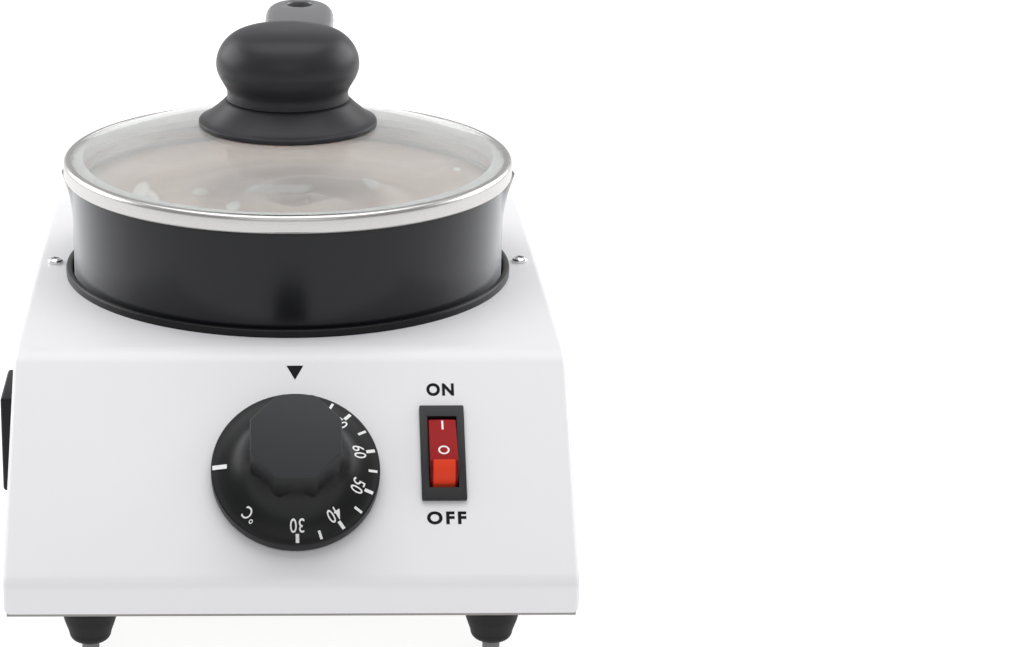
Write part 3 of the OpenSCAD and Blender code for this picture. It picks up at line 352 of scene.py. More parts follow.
def plainFinish(name):
    colour, shade, metallic, rough, scale, depth, gloss = finishes[name]
    material, tree, shader, place = newMaterial(name)
    grain = addGrain(tree, place, scale)
    patched = mixColour(tree, grain.outputs["Mask"], colour, shade)
    tree.links.new(patched, shader.inputs["Base Color"])
    linkRough(tree, shader, grain.outputs["Mask"], rough)
    shader.inputs["Metallic"].default_value = metallic
    shader.inputs["Specular IOR Level"].default_value = gloss
    addBump(tree, shader, grain.outputs["Height"], depth * mm)
    return material


finish = {name: plainFinish(name) for name in finishes}


dialLook = {
    "skirt": (0.006, 0.0063, 0.007),
    "face": (0.03, 0.032, 0.036),
    "faceAbove": 27.8 * mm,
    "fade": 0.1 * mm,
    "skirtRough": (0.34, 0.4),
    "faceRough": 0.5,
    "gloss": 0.25,
    "grain": 650,
    "grainDepth": 0.004 * mm,
}


def dialFinish():
    material, tree, shader, place = newMaterial("dial_gloss")
    grain = addGrain(tree, place, dialLook["grain"])
    along = tree.nodes.new("ShaderNodeVectorMath")
    along.operation = "DOT_PRODUCT"
    along.inputs[1].default_value = panelNormal
    tree.links.new(place, along.inputs[0])
    level = dialSpot.dot(panelNormal) + dialLook["faceAbove"]
    fade = dialLook["fade"]
    face = mapped(tree, along.outputs["Value"], 0, 1, level - fade, level + fade)
    colour = mixColour(tree, face, dialLook["skirt"], dialLook["face"])
    tree.links.new(colour, shader.inputs["Base Color"])
    rough = tree.nodes.new("ShaderNodeMix")
    tree.links.new(face, rough.inputs[0])
    tree.links.new(mapped(tree, grain.outputs["Mask"], *dialLook["skirtRough"]), rough.inputs[2])
    rough.inputs[3].default_value = dialLook["faceRough"]
    tree.links.new(rough.outputs[0], shader.inputs["Roughness"])
    shader.inputs["Specular IOR Level"].default_value = dialLook["gloss"]
    addBump(tree, shader, grain.outputs["Height"], dialLook["grainDepth"])
    return material


panLook = {
    "wall": (0.0065, 0.0067, 0.009),
    "wallShade": (0.0057, 0.0058, 0.008),
    "inside": (0.80, 0.80, 0.80),
    "rough": (0.2, 0.25),
    "gloss": 0.3,
    "sheen": 0.85,
    "sheenRough": 0.35,
    "sheenTint": (0.94, 0.96, 1.0, 1),
    "grain": 500,
    "grainDepth": 0.005 * mm,
}


def panFinish():
    material, tree, shader, place = newMaterial("pan_coat")
    grain = addGrain(tree, place, panLook["grain"])
    wall = mixColour(tree, grain.outputs["Mask"], panLook["wall"], panLook["wallShade"])
    colour = mixColour(tree, attribute(tree, "inside"), wall, panLook["inside"])
    tree.links.new(colour, shader.inputs["Base Color"])
    linkRough(tree, shader, grain.outputs["Mask"], panLook["rough"])
    shader.inputs["Specular IOR Level"].default_value = panLook["gloss"]
    shader.inputs["Sheen Weight"].default_value = panLook["sheen"]
    shader.inputs["Sheen Roughness"].default_value = panLook["sheenRough"]
    shader.inputs["Sheen Tint"].default_value = panLook["sheenTint"]
    addBump(tree, shader, grain.outputs["Height"], panLook["grainDepth"])
    return material


bandLook = {
    "steel": (0.56, 0.55, 0.54),
    "steelShade": (0.53, 0.52, 0.51),
    "rough": (0.24, 0.32),
    "brushed": (0.05, 0.05, 3),  # draws the grain out round the ring
    "grain": 1500,
    "grainDepth": 0.003 * mm,
}


def steelBandFinish():
    material, tree, shader, place = newMaterial("satin_stainless")
    stretch = tree.nodes.new("ShaderNodeMapping")
    stretch.inputs["Scale"].default_value = bandLook["brushed"]
    tree.links.new(place, stretch.inputs["Vector"])
    lines = addGrain(tree, stretch.outputs["Vector"], bandLook["grain"])
    grain = addGrain(tree, place, bandLook["grain"])
    colour = mixColour(tree, grain.outputs["Mask"], bandLook["steel"], bandLook["steelShade"])
    tree.links.new(colour, shader.inputs["Base Color"])
    linkRough(tree, shader, lines.outputs["Height"], bandLook["rough"])
    shader.inputs["Metallic"].default_value = 1
    addBump(tree, shader, lines.outputs["Height"], bandLook["grainDepth"])
    return material


glassLook = {
    "tint": (0.97, 0.985, 0.98, 1),
    "clear": 0.84,  # the rest is haze
    "bending": 1.3,
    "rough": (0.0, 0.03),
    "grain": 300,
}


def glassFinish():
    material, tree, shader, place = newMaterial("lid_glass_clear")
    grain = addGrain(tree, place, glassLook["grain"])
    shader.inputs["Base Color"].default_value = glassLook["tint"]
    shader.inputs["Transmission Weight"].default_value = glassLook["clear"]
    shader.inputs["IOR"].default_value = glassLook["bending"]
    linkRough(tree, shader, grain.outputs["Mask"], glassLook["rough"])
    return material


rockerLook = {
    "face": (0.31, 0.006, 0.008),
    # painted shade: darker red on the flanks of the nose, beside the lit window
    "side": (0.16, 0.003, 0.004),
    "nose": (0.62, 0.045, 0.018),
    "noseHalf": 3.5 * mm,
    "noseFade": 0.25 * mm,
    "crease": -5.2 * mm,  # below the pivot, along the panel
    "creaseFade": 0.15 * mm,
    "rough": (0.18, 0.28),
    "gloss": 0.08,
    "light": (0.9, 0.08, 0.03),
    "glow": 0.12,
    "grain": 650,
    "grainDepth": 0.004 * mm,
}


def rockerFinish():
    material, tree, shader, place = newMaterial("red_rocker")
    turn = tree.nodes.new("ShaderNodeMapping")
    turn.vector_type = "TEXTURE"
    turn.inputs["Location"].default_value = rockerSpot
    turn.inputs["Rotation"].default_value = (panelTilt, 0, 0)
    tree.links.new(place, turn.inputs["Vector"])
    split = tree.nodes.new("ShaderNodeSeparateXYZ")
    tree.links.new(turn.outputs["Vector"], split.inputs["Vector"])
    crease, fade = rockerLook["crease"], rockerLook["creaseFade"]
    nose = mapped(tree, split.outputs["Y"], 1, 0, crease - fade, crease + fade)
    grain = addGrain(tree, place, rockerLook["grain"])
    across = tree.nodes.new("ShaderNodeMath")
    across.operation = "ABSOLUTE"
    tree.links.new(split.outputs["X"], across.inputs[0])
    half, fade = rockerLook["noseHalf"], rockerLook["noseFade"]
    window = mapped(tree, across.outputs["Value"], 1, 0, half - fade, half + fade)
    lit = tree.nodes.new("ShaderNodeMath")
    lit.operation = "MULTIPLY"
    tree.links.new(nose, lit.inputs[0])
    tree.links.new(window, lit.inputs[1])
    # below the crease, the flanks beside the lit window get the darker side red, a painted shade of their rounded
    # edges
    dark = mixColour(tree, nose, rockerLook["face"], rockerLook["side"])
    colour = mixColour(tree, lit.outputs["Value"], dark, rockerLook["nose"])
    tree.links.new(colour, shader.inputs["Base Color"])
    linkRough(tree, shader, grain.outputs["Mask"], rockerLook["rough"])
    glow = mixColour(tree, lit.outputs["Value"], (0.0, 0.0, 0.0), rockerLook["light"])
    tree.links.new(glow, shader.inputs["Emission Color"])
    shader.inputs["Emission Strength"].default_value = rockerLook["glow"]
    shader.inputs["Specular IOR Level"].default_value = rockerLook["gloss"]
    addBump(tree, shader, grain.outputs["Height"], rockerLook["grainDepth"])
    return material


chocolateLook = {
    "brown": (0.55, 0.40, 0.33),
    "pale": (0.84, 0.71, 0.64),
    # painted glints: near-white colour on the crests that stands in for highlights
    "cream": (0.95, 0.93, 0.91),
    "clouds": 22,  # per metre
    "curl": 2.2,
    "cloudShare": 0.9,
    "toneAndShadeRange": (0.1, 1.1),
    "paintedGlintRange": (0.45, 0.75),
    "rough": (0.2, 0.28),
    "gloss": 0.3,
    "scatter": 0.2,
    "scatterReach": (3 * mm, 1.5 * mm, 1 * mm),
}


def chocolateFinish():
    material, tree, shader, place = newMaterial("milk_chocolate")
    cloud = tree.nodes.new("ShaderNodeTexNoise")
    cloud.inputs["Scale"].default_value = chocolateLook["clouds"]
    cloud.inputs["Distortion"].default_value = chocolateLook["curl"]
    tree.links.new(place, cloud.inputs["Vector"])
    blend = tree.nodes.new("ShaderNodeMath")
    blend.operation = "MULTIPLY_ADD"
    tree.links.new(cloud.outputs["Fac"], blend.inputs[0])
    blend.inputs[1].default_value = chocolateLook["cloudShare"]
    # the swirl attribute adds painted shade over the random cloud tone: paler on the wave crests, browner in the
    # troughs
    tree.links.new(attribute(tree, "swirl"), blend.inputs[2])
    toneAndShade = mapped(tree, blend.outputs["Value"], 0, 1, *chocolateLook["toneAndShadeRange"])
    colour = mixColour(tree, toneAndShade, chocolateLook["brown"], chocolateLook["pale"])
    # painted glints: the crests turn near white, standing in for highlights
    paintedGlintMask = mapped(tree, attribute(tree, "cream"), 0, 1, *chocolateLook["paintedGlintRange"])
    tree.links.new(mixColour(tree, paintedGlintMask, colour, chocolateLook["cream"]), shader.inputs["Base Color"])
    linkRough(tree, shader, cloud.outputs["Fac"], chocolateLook["rough"])
    shader.inputs["Specular IOR Level"].default_value = chocolateLook["gloss"]
    shader.inputs["Subsurface Weight"].default_value = chocolateLook["scatter"]
    shader.inputs["Subsurface Radius"].default_value = chocolateLook["scatterReach"]
    return material


finish["dial_plastic"] = dialFinish()
finish["pan_coat"] = panFinish()
finish["stainless"] = steelBandFinish()
finish["glass"] = glassFinish()
finish["red_plastic"] = rockerFinish()
finish["chocolate"] = chocolateFinish()
print("finishes made", len(finish))


# CAD nodes take the finish of their slot
for entry in frame["record"]["subparts"]:
    node = frame["nodes"][entry["node"]]
    node.data.materials.clear()
    node.data.materials.append(finish[entry["material_slot"]])
print("CAD nodes dressed")


housing = {
    "sheet": 1.2 * mm,
    "topFold": 12 * mm,
    "lipFold": 6 * mm,
    "backFold": 5 * mm,
    "sideEdge": 2.1 * mm,
    "flange": 9 * mm,
    "wellHole": 78 * mm,
    "collarHole": 4.6 * mm,
    "switchHole": (12 * mm, 31.4 * mm),
    "inletHole": (24.2 * mm, 28.2 * mm),
    "inletRise": 22 * mm,  # from the housing's lower edge
    "inletFront": 47 * mm,  # from the well's axis
    "switchSide": 47.1 * mm,  # from the dial's axis
    "switchUp": 7.5 * mm,
    "cutDepth": 16 * mm,
}
onSwitch = onPanel @ Matrix.Translation((housing["switchSide"], housing["switchUp"], 0))


def plainBox(size):
    bpy.ops.mesh.primitive_cube_add(size=1)
    box = bpy.context.object
    box.scale = size
    return placed(box, Matrix.Identity(4))


def roundCutter(radius, depth):
    bpy.ops.mesh.primitive_cylinder_add(vertices=128, radius=radius, depth=depth)
    return bpy.context.object


def makeHousing():
    rise = math.tan(panelTilt)
    foldY = dialSpot.y + (plateZ - dialSpot.z) / rise
    lipZ = dialSpot.z - (dialSpot.y - housingLow.y) * rise
    side = [
        (housingHigh.y, housingLow.z, 0),
        (housingHigh.y, plateZ, housing["backFold"]),
        (foldY, plateZ, housing["topFold"]),
        (housingLow.y, lipZ, housing["lipFold"]),
        (housingLow.y, housingLow.z, 0),
    ]
    line = softCorners(side, closed=True, steps=8)
    width = Vector((housingHigh.x - housingLow.x, 0, 0))
    shell = slabOf("housing", [Vector((housingLow.x, y, z)) for y, z in line], width)
    ends = (housingLow.x, housingHigh.x)
    pickEdges(shell, lambda a, b: any(abs(a.x - x) + abs(b.x - x) < hair for x in ends))
    bevelPicked(housing["sideEdge"], 5)
    pickFaces(shell, lambda face: face.normal.z < -0.99 and face.center.z < housingLow.z + hair)
    bpy.ops.mesh.inset(thickness=housing["flange"])
    bpy.ops.mesh.delete(type="FACE")
    bpy.ops.object.mode_set(mode="OBJECT")
    withModifier(shell, "SOLIDIFY", thickness=housing["sheet"], offset=-1)
    deep = housing["cutDepth"]
    wellSpot = Vector((*potAxis.xy, plateZ))
    inletY, inletZ = potAxis.y - housing["inletFront"], housingLow.z + housing["inletRise"]
    inletSpot = Vector((housingLow.x, inletY, inletZ))
    cutAway(shell, placed(roundCutter(housing["wellHole"], deep), Matrix.Translation(wellSpot)))
    cutAway(shell, placed(roundCutter(housing["collarHole"], deep), onPanel))
    cutAway(shell, placed(plainBox((*housing["switchHole"], deep)), onSwitch))
    cutAway(shell, placed(plainBox((deep, *housing["inletHole"])), Matrix.Translation(inletSpot)))
    finishPiece(shell, "base", finish["white_enamel"], 40)
    withModifier(shell, "WEIGHTED_NORMAL", keep_sharp=True)
    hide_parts("housing_shell")


makeHousing()
print("housing modelled")


feetShape = {
    "nodes": ("foot_front_left", "foot_front_right", "foot_back_left", "foot_back_right"),
    # radius, height and rounding of each corner, in mm
    "outline": [
        (0, 5.1, 0), (2.95, 5.1, 0.3), (2.95, 0, 0.1), (6.3, 0, 2.9), (6.8, 3.2, 3), (8.2, 7.2, 4),
        (9.1, 11, 4), (9.45, 14.5, 0.3), (4.0, 14.5, 0), (4.0, 12, 0), (0, 12, 0)],
}


def makeFeet():
    first = None
    for name in feetShape["nodes"]:
        low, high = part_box(name)
        spot = (low + high) / 2
        if first is None:
            outline = [(r * mm, z * mm + low.z, bend * mm) for r, z, bend in feetShape["outline"]]
            start = spot
            first = turned("rubber_" + name, softCorners(outline), start, 48)
            foot = first
        else:
            foot = placed(copied(first, "rubber_" + name), Matrix.Translation((*(spot - start).xy, 0)))
        finishPiece(foot, "base", finish["foot_rubber"])
        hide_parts(name)


makeFeet()


topScrew = {
    "head": 2.8 * mm,
    "rise": 1.8 * mm,
    "shank": 1.5 * mm,
    "reach": 6 * mm,
    "slotWidth": 0.6 * mm,
    "slotLength": 3 * mm,
    "slotDepth": 1 * mm,
    "slotTurn": 0.35,  # radians
}


def makeTopScrews():
    low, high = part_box("top_screws")
    head, rise = topScrew["head"], topScrew["rise"]
    outline = [
        (0, plateZ - topScrew["reach"], 0), (topScrew["shank"], plateZ - topScrew["reach"], 0.4 * mm),
        (topScrew["shank"], plateZ, 0), (head, plateZ, 0.1 * mm), (head, plateZ + 0.6 * rise, 0.7 * mm),
        (0.5 * head, plateZ + rise, 1.2 * mm), (0, plateZ + rise, 0)]
    spot = Vector((high.x - head, (low.y + high.y) / 2, 0))
    right = turned("cross_head_screws", softCorners(outline), spot, 32)
    for turn in (topScrew["slotTurn"], topScrew["slotTurn"] + math.pi / 2):
        size = (topScrew["slotLength"], topScrew["slotWidth"], 2 * topScrew["slotDepth"])
        cross = Matrix.Translation((spot.x, spot.y, plateZ + rise)) @ Matrix.Rotation(turn, 4, "Z")
        cutAway(right, placed(plainBox(size), cross))
    left = placed(copied(right, "left_screw"), Matrix.Translation((low.x + 2 * head - high.x, 0, 0)))
    pair = joined("cross_head_screws", right, left)
    finishPiece(pair, "base", finish["bright_steel"], 30)
    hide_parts("top_screws")


makeTopScrews()


pan = {
    "outer": 76 * mm,
    "inner": 73.5 * mm,
    "floor": 3 * mm,
    "round": 7 * mm,
    "innerRound": 5 * mm,
    "rimRound": 0.9 * mm,
    "turn": math.radians(-1.8),
    "spoutReach": 4.4 * mm,
    "spoutHalf": 14 * mm,
    "spoutDrop": 17 * mm,
    "spoutHollow": 1.4,  # 1 gives a straight flank
    "spoutRings": 8,
}
turnPan = Matrix.Translation((*potAxis.xy, 0)) @ Matrix.Rotation(pan["turn"], 4, "Z")
panLow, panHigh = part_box("pan_shell")


def makePan():
    rim, floor = panHigh.z, panLow.z + pan["floor"]
    drop = pan["spoutDrop"]
    rings = [rim - drop * k / pan["spoutRings"] for k in range(1, pan["spoutRings"] + 1)]
    outline = [(0, panLow.z, 0), (pan["outer"], panLow.z, pan["round"])]
    outline += [(pan["outer"], z, 0) for z in reversed(rings)]
    outline += [(pan["outer"], rim, pan["rimRound"]), (pan["inner"], rim, pan["rimRound"])]
    outline += [(pan["inner"], z, 0) for z in rings]
    outline += [(pan["inner"], floor, pan["innerRound"]), (0, floor, 0)]
    shell = turned("pan", softCorners(outline), Vector((0, 0, 0)), 192)
    lining = shell.data.attributes.new("inside", "FLOAT", "POINT")
    for vertex in shell.data.vertices:
        x, y, z = vertex.co
        within = math.hypot(x, y) < pan["inner"] + 5 * hair and z > floor - 5 * hair
        lining.data[vertex.index].value = 1.0 if within else 0.0
        side = min(1.0, abs(y) / pan["spoutHalf"])
        lift = max(0.0, 1 - (rim - z) / drop)
        if math.hypot(x, y) > pan["inner"] - mm:
            push = pan["spoutReach"] * math.cos(side * math.pi / 2) ** 2 * lift ** pan["spoutHollow"]
            vertex.co.x += math.copysign(push, x)
    placed(shell, turnPan)
    finishPiece(shell, "pan", finish["pan_coat"], 40)
    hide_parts("pan_shell")


makePan()


handle = {
    "root": (0, 76 * mm, 111 * mm),
    "rise": math.radians(8),
    "start": 18 * mm,
    "end": 147 * mm,
    "startHalf": 10.5 * mm,
    "waist": 62 * mm,
    "waistHalf": 9.5 * mm,
    "endRadius": 14.5 * mm,
    "thick": 12 * mm,
    "edge": 5.4 * mm,
    "crown": 0.18,  # share by which the end is thicker
    "sag": 0.93,  # share of the arch left at the end
    "hole": 5.2 * mm,
    "holeAt": 135 * mm,
    "holeEdge": 1.2 * mm,
    "sideSteps": 12,
    "tipSteps": 24,
    "strips": 20,
}
onHandle = turnPan @ Matrix.Translation(handle["root"]) @ Matrix.Rotation(handle["rise"], 4, "X")


def makeHandle():
    half = handle["thick"] / 2
    length = handle["end"] - handle["start"]
    roundAt = handle["end"] - handle["endRadius"]
    right = []
    for k in range(handle["sideSteps"] + 1):
        s = handle["start"] + (roundAt - handle["start"]) * k / handle["sideSteps"]
        early = (handle["waist"] - s) / (handle["waist"] - handle["start"])
        late = (s - handle["waist"]) / (roundAt - handle["waist"])
        if s < handle["waist"]:
            wide = handle["waistHalf"] + (handle["startHalf"] - handle["waistHalf"]) * early ** 2
        else:
            ease = late * late * (3 - 2 * late)
            wide = handle["waistHalf"] + (handle["endRadius"] - handle["waistHalf"]) * ease
        right.append(Vector((wide, s, -half)))
    tip = []
    for k in range(1, handle["tipSteps"]):
        angle = math.pi * k / handle["tipSteps"]
        r = handle["endRadius"]
        tip.append(Vector((r * math.cos(angle), roundAt + r * math.sin(angle), -half)))
    left = [Vector((-p.x, p.y, p.z)) for p in reversed(right)]
    grip = slabOf("handle_grip", right + tip + left, Vector((0, 0, handle["thick"])))
    pickEdges(grip, lambda a, b: abs(a.z - b.z) < hair)
    bevelPicked(handle["edge"], 6)
    hole = roundCutter(handle["hole"], 4 * handle["thick"])
    cutAway(grip, placed(hole, Matrix.Translation((0, handle["holeAt"], 0))))
    middle = Vector((0, handle["holeAt"]))

    def holeRim(a, b):
        level = abs(a.z - b.z) < hair and abs(abs(a.z) - half) < 5 * hair
        return level and max((a.xy - middle).length, (b.xy - middle).length) < handle["hole"] + 5 * hair

    pickEdges(grip, holeRim)
    bevelPicked(handle["holeEdge"], 3)
    onlyThis(grip)
    bpy.ops.object.mode_set(mode="EDIT")
    for k in range(1, handle["strips"]):
        across = handle["start"] + length * k / handle["strips"]
        bpy.ops.mesh.select_all(action="SELECT")
        bpy.ops.mesh.bisect(plane_co=(0, across, 0), plane_no=(0, 1, 0))
    bpy.ops.object.mode_set(mode="OBJECT")
    for vertex in grip.data.vertices:
        t = max(0.0, vertex.co.y - handle["start"]) / length
        arch = math.sin(handle["rise"]) * length * (handle["sag"] * t * t - t ** 3)
        vertex.co.z = vertex.co.z * (1 + handle["crown"] * t * t) + arch
    placed(grip, onHandle)
    finishPiece(grip, "pan", finish["handle_gloss"], 40)
    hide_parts("pan_handle")


makeHandle()
print("pan and handle modelled")


def smoothStep(p, q, r, s, t):
    bend = (2 * p - 5 * q + 4 * r - s) * t * t + (3 * q - p - 3 * r + s) * t ** 3
    return 0.5 * (2 * q + (r - p) * t + bend)


def arcLine(points, steps):
    # a smooth line through the points, by short straight runs
    line = []
    last = len(points) - 1
    for i in range(last):
        before, here = points[max(i - 1, 0)], points[i]
        there, after = points[i + 1], points[min(i + 2, last)]
        for k in range(steps):
            line.append(tuple(smoothStep(*four, k / steps) for four in zip(before, here, there, after)))
    line.append(tuple(points[-1]))
    return line


lid = {
    "bandSheet": 0.6 * mm,
    "bandDrop": 0.9 * mm,
    "bandLip": 2.7 * mm,
    "skirt": 72.7 * mm,
    "glassDrop": 1.65 * mm,  # of its edge, below the solid band's top
    "glassThick": 3 * mm,
    "glassEdge": 1.2 * mm,
    "glassRound": 1.1 * mm,
    "screwHole": 2.6 * mm,
}
bandLow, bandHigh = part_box("lid_band")
glassLow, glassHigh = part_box("lid_glass")
bandRadius = (bandHigh.x - bandLow.x) / 2
glassRadius = (glassHigh.x - glassLow.x) / 2
# sphere of the dome from its rise between edge and middle
domeRise = glassHigh.z - (bandHigh.z - lid["glassDrop"])
domeRadius = (glassRadius ** 2 + domeRise ** 2) / (2 * domeRise)


def domeHeight(r, above=0.0):
    reach = domeRadius + above
    return glassHigh.z - domeRadius + math.sqrt(reach * reach - r * r)


def makeLidBand():
    sheet, skirt, low = lid["bandSheet"], lid["skirt"], panHigh.z
    top = bandHigh.z - lid["bandDrop"]
    lip, wall = bandRadius - lid["bandLip"], bandRadius - sheet
    outline = [
        (skirt - sheet, bandLow.z, 0.3 * mm), (skirt, bandLow.z, 0.3 * mm), (skirt, low, 0.5 * mm),
        (bandRadius, low, 1.0 * mm), (bandRadius, top, 1.7 * mm),
        (lip, top, 0.35 * mm), (lip, top - sheet, 0.35 * mm),
        (wall, top - sheet, 0.4 * mm), (wall, low + sheet, 0.4 * mm),
        (skirt - sheet, low + sheet, 0.5 * mm)]
    line = softCorners(outline, closed=True)
    ring = turned("lid_ring", line + line[:1], potAxis, 160)
    finishPiece(ring, "lid", finish["stainless"], 40)
    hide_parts("lid_band")


def makeLidGlass():
    edge, hole, thick = glassRadius, lid["screwHole"], lid["glassThick"]
    shoulder, bend = edge - lid["glassEdge"], lid["glassRound"]
    reach = [hole + (shoulder - hole) * k / 24 for k in range(25)]
    upper = [Vector((r, domeHeight(r))) for r in reach]
    lower = [Vector((r, domeHeight(r, -thick))) for r in reversed(reach)]
    rim = [
        (shoulder, domeHeight(shoulder), 0), (edge, domeHeight(edge), bend),
        (edge, domeHeight(edge, -thick), bend), (shoulder, domeHeight(shoulder, -thick), 0)]
    line = upper + softCorners(rim)[1:-1] + lower
    dome = turned("glass_dome", line + line[:1], potAxis, 160)
    finishPiece(dome, "lid", finish["glass"], 40)
    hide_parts("lid_glass")


knob = {
    "base": 31.3 * mm,
    "rim": 2.2 * mm,
    "neck": 22.1 * mm,
    "hollow": 1.2,  # 1 gives a straight slope
    "seam": 0.35 * mm,
    "seamDepth": 0.9 * mm,
    "seatGap": 0.1 * mm,
    "underEdge": 1.4 * mm,
    "upperEdge": 1.0 * mm,
    "bore": 2.6 * mm,
    "boreDepth": 9 * mm,
    "slopeSteps": 16,
    # radius and height above the crease, in mm
    "ballLine": [
        (21.5, 0.0), (21.2, 1.7), (21.3, 3.4), (22.0, 5.0), (23.2, 7.0), (24.3, 9.2), (24.9, 11.2),
        (25.0, 13.2), (24.7, 15.3), (23.9, 17.5), (22.7, 19.5), (21.0, 21.4), (18.4, 23.2), (14.4, 24.6),
        (8.5, 25.5), (0, 25.7)],
}


def seatHeight(r):
    return domeHeight(r, knob["seatGap"])


def makeKnob():
    base, neck, bore = knob["base"], knob["neck"], knob["bore"]
    under, upper = base - knob["underEdge"], base - knob["upperEdge"]
    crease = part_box("lid_knob")[0].z
    rimTop = seatHeight(base) + knob["rim"]
    seat = [Vector((r, seatHeight(r))) for r in (bore, 10 * mm, 20 * mm, under)]
    rim = [
        (under, seatHeight(under), 0), (base, seatHeight(base), 0.5 * mm),
        (base, rimTop - 0.5 * mm, 0.45 * mm), (upper, rimTop, 0)]
    rise = crease - knob["seam"] - rimTop
    slope = []
    for k in range(knob["slopeSteps"] + 1):
        u = k / knob["slopeSteps"]
        slope.append(Vector((upper + (neck - upper) * u, rimTop + rise * u ** knob["hollow"])))
    top = [Vector((neck - knob["seamDepth"], crease)), Vector((bore, crease))]
    line = seat + softCorners(rim)[1:-1] + slope + top
    foot = turned("knob_foot", line + line[:1], potAxis, 128)
    finishPiece(foot, "lid", finish["knob_satin"], 30)
    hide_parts("knob_base")
    ball = [Vector((r * mm, crease + h * mm)) for r, h in arcLine(knob["ballLine"], 4)]
    boreTop = crease + knob["boreDepth"]
    core = [Vector((0, boreTop)), Vector((bore, boreTop)), Vector((bore, crease))]
    core.append(Vector((ball[0].x - knob["seamDepth"], crease)))
    ball[0] = Vector((ball[0].x - 0.1 * mm, crease + 2 * knob["seam"]))
    cap = turned("knob_ball", core + ball, potAxis, 128)
    finishPiece(cap, "lid", finish["knob_satin"], 30)
    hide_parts("lid_knob")


makeLidBand()
makeLidGlass()
makeKnob()
print("lid modelled")


dialShape = {
    "gap": 0.8 * mm,
    "skirt": 26.8 * mm,
    "skirtEdge": 5.2 * mm,
    "flare": (25.3 * mm, 14.1 * mm),  # radius where the flare starts and ends
    "flareBend": 2.6 * mm,
    "flareRise": 15 * mm,
    "flat": 14.25 * mm,
    "gripStart": 1 * mm,  # above the skirt's edge, inside the flare
    "face": 28.2 * mm,
    "corner": 1.0 * mm,
    "faceEdge": 0.5 * mm,
}


def skirtHeight(r):
    outer, inner = dialShape["flare"]
    t = 1 - math.sqrt(min(1.0, max(0.0, (r - inner) / (outer - inner))))
    bend = 2 * t * (1 - t) * dialShape["flareBend"]
    return dialShape["skirtEdge"] + bend + t * t * dialShape["flareRise"]


def makeDial():
    outer, inner = dialShape["flare"]
    edge, gap, skirt = dialShape["skirtEdge"], dialShape["gap"], dialShape["skirt"]
    rim = [(0, gap, 0), (skirt, gap, 0.4 * mm), (skirt, edge, 0.6 * mm), (outer, edge, 0)]
    reach = [inner + (outer - inner) * (1 - k / 24) ** 2 for k in range(1, 25)]
    flare = [Vector((r, skirtHeight(r))) for r in reach]
    top = [Vector((0, flare[-1].y))]
    base = turned("dial_skirt", softCorners(rim) + flare + top, Vector((0, 0, 0)), 128)
    low = edge + dialShape["gripStart"]
    tall = dialShape["face"] - low
    wide = dialShape["flat"] / math.cos(math.pi / 8)
    middle, turn = (0, 0, low + tall / 2), (0, 0, math.pi / 8)
    bpy.ops.mesh.primitive_cylinder_add(vertices=8, radius=wide, depth=tall, location=middle, rotation=turn)
    grip = placed(bpy.context.object, Matrix.Identity(4))
    pickEdges(grip, lambda a, b: abs(a.z - b.z) > tall / 2)
    bevelPicked(dialShape["corner"], 3)
    pickEdges(grip, lambda a, b: min(a.z, b.z) > dialShape["face"] - hair)
    bevelPicked(dialShape["faceEdge"], 3)
    knobBody = placed(joined("dial_knob", base, grip), onPanel)
    finishPiece(knobBody, "dial", finish["dial_plastic"], 30)
    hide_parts("dial")


makeDial()


switch = {
    "frame": (14.3 * mm, 33.5 * mm),
    "rise": 1.8 * mm,
    "window": (9.4 * mm, 25.3 * mm),
    "windowDepth": 13 * mm,
    "bodyWide": 11.8 * mm,
    "bodyDepth": 20 * mm,
    "edge": 0.5 * mm,
}


def makeSwitchFrame():
    wide, tall = switch["frame"]
    frameBox = plainBox((wide, tall, switch["rise"]))
    placed(frameBox, Matrix.Translation((0, 0, switch["rise"] / 2)))
    pickFaces(frameBox, lambda face: face.normal.z > 0.99)
    bpy.ops.mesh.inset(thickness=(wide - switch["window"][0]) / 2)
    bpy.ops.transform.resize(value=(1, switch["window"][1] / (tall - wide + switch["window"][0]), 1))
    bpy.ops.mesh.extrude_region_move(TRANSFORM_OT_translate={"value": (0, 0, -switch["windowDepth"])})
    bpy.ops.object.mode_set(mode="OBJECT")
    pickFaces(frameBox, lambda face: face.normal.z < -0.99 and abs(face.center.z) < hair)
    bpy.ops.mesh.inset(thickness=(wide - switch["bodyWide"]) / 2)
    bpy.ops.mesh.extrude_region_move(TRANSFORM_OT_translate={"value": (0, 0, -switch["bodyDepth"])})
    bpy.ops.object.mode_set(mode="OBJECT")
    outer = wide / 2 - hair

    def outerEdge(a, b):
        return min(a.z, b.z) > -hair and min(abs(a.x), abs(b.x)) > outer

    pickEdges(frameBox, outerEdge)
    bevelPicked(switch["edge"], 3)
    placed(frameBox, onSwitch)
    finishPiece(frameBox, "base", finish["rocker_frame"], 30)
    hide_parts("switch_body")


makeSwitchFrame()


rocker = {
    "wide": 8.8 * mm,
    "radius": 13.6 * mm,
    "cut": 12.6 * mm,
    "face": 10.6 * mm,
    "crease": -8.0 * mm,
    "back": -3 * mm,
    "heel": 6 * mm,
    "nose": [(-11.9, 7.4), (-10.4, 9.4), (-9.2, 10.25)],  # mm along and above the pivot
    "tilt": math.radians(-15),
    "edge": 0.45 * mm,
    "edgeAbove": 3 * mm,
}
onRocker = Matrix.Translation(rockerSpot) @ Matrix.Rotation(panelTilt + rocker["tilt"], 4, "X")


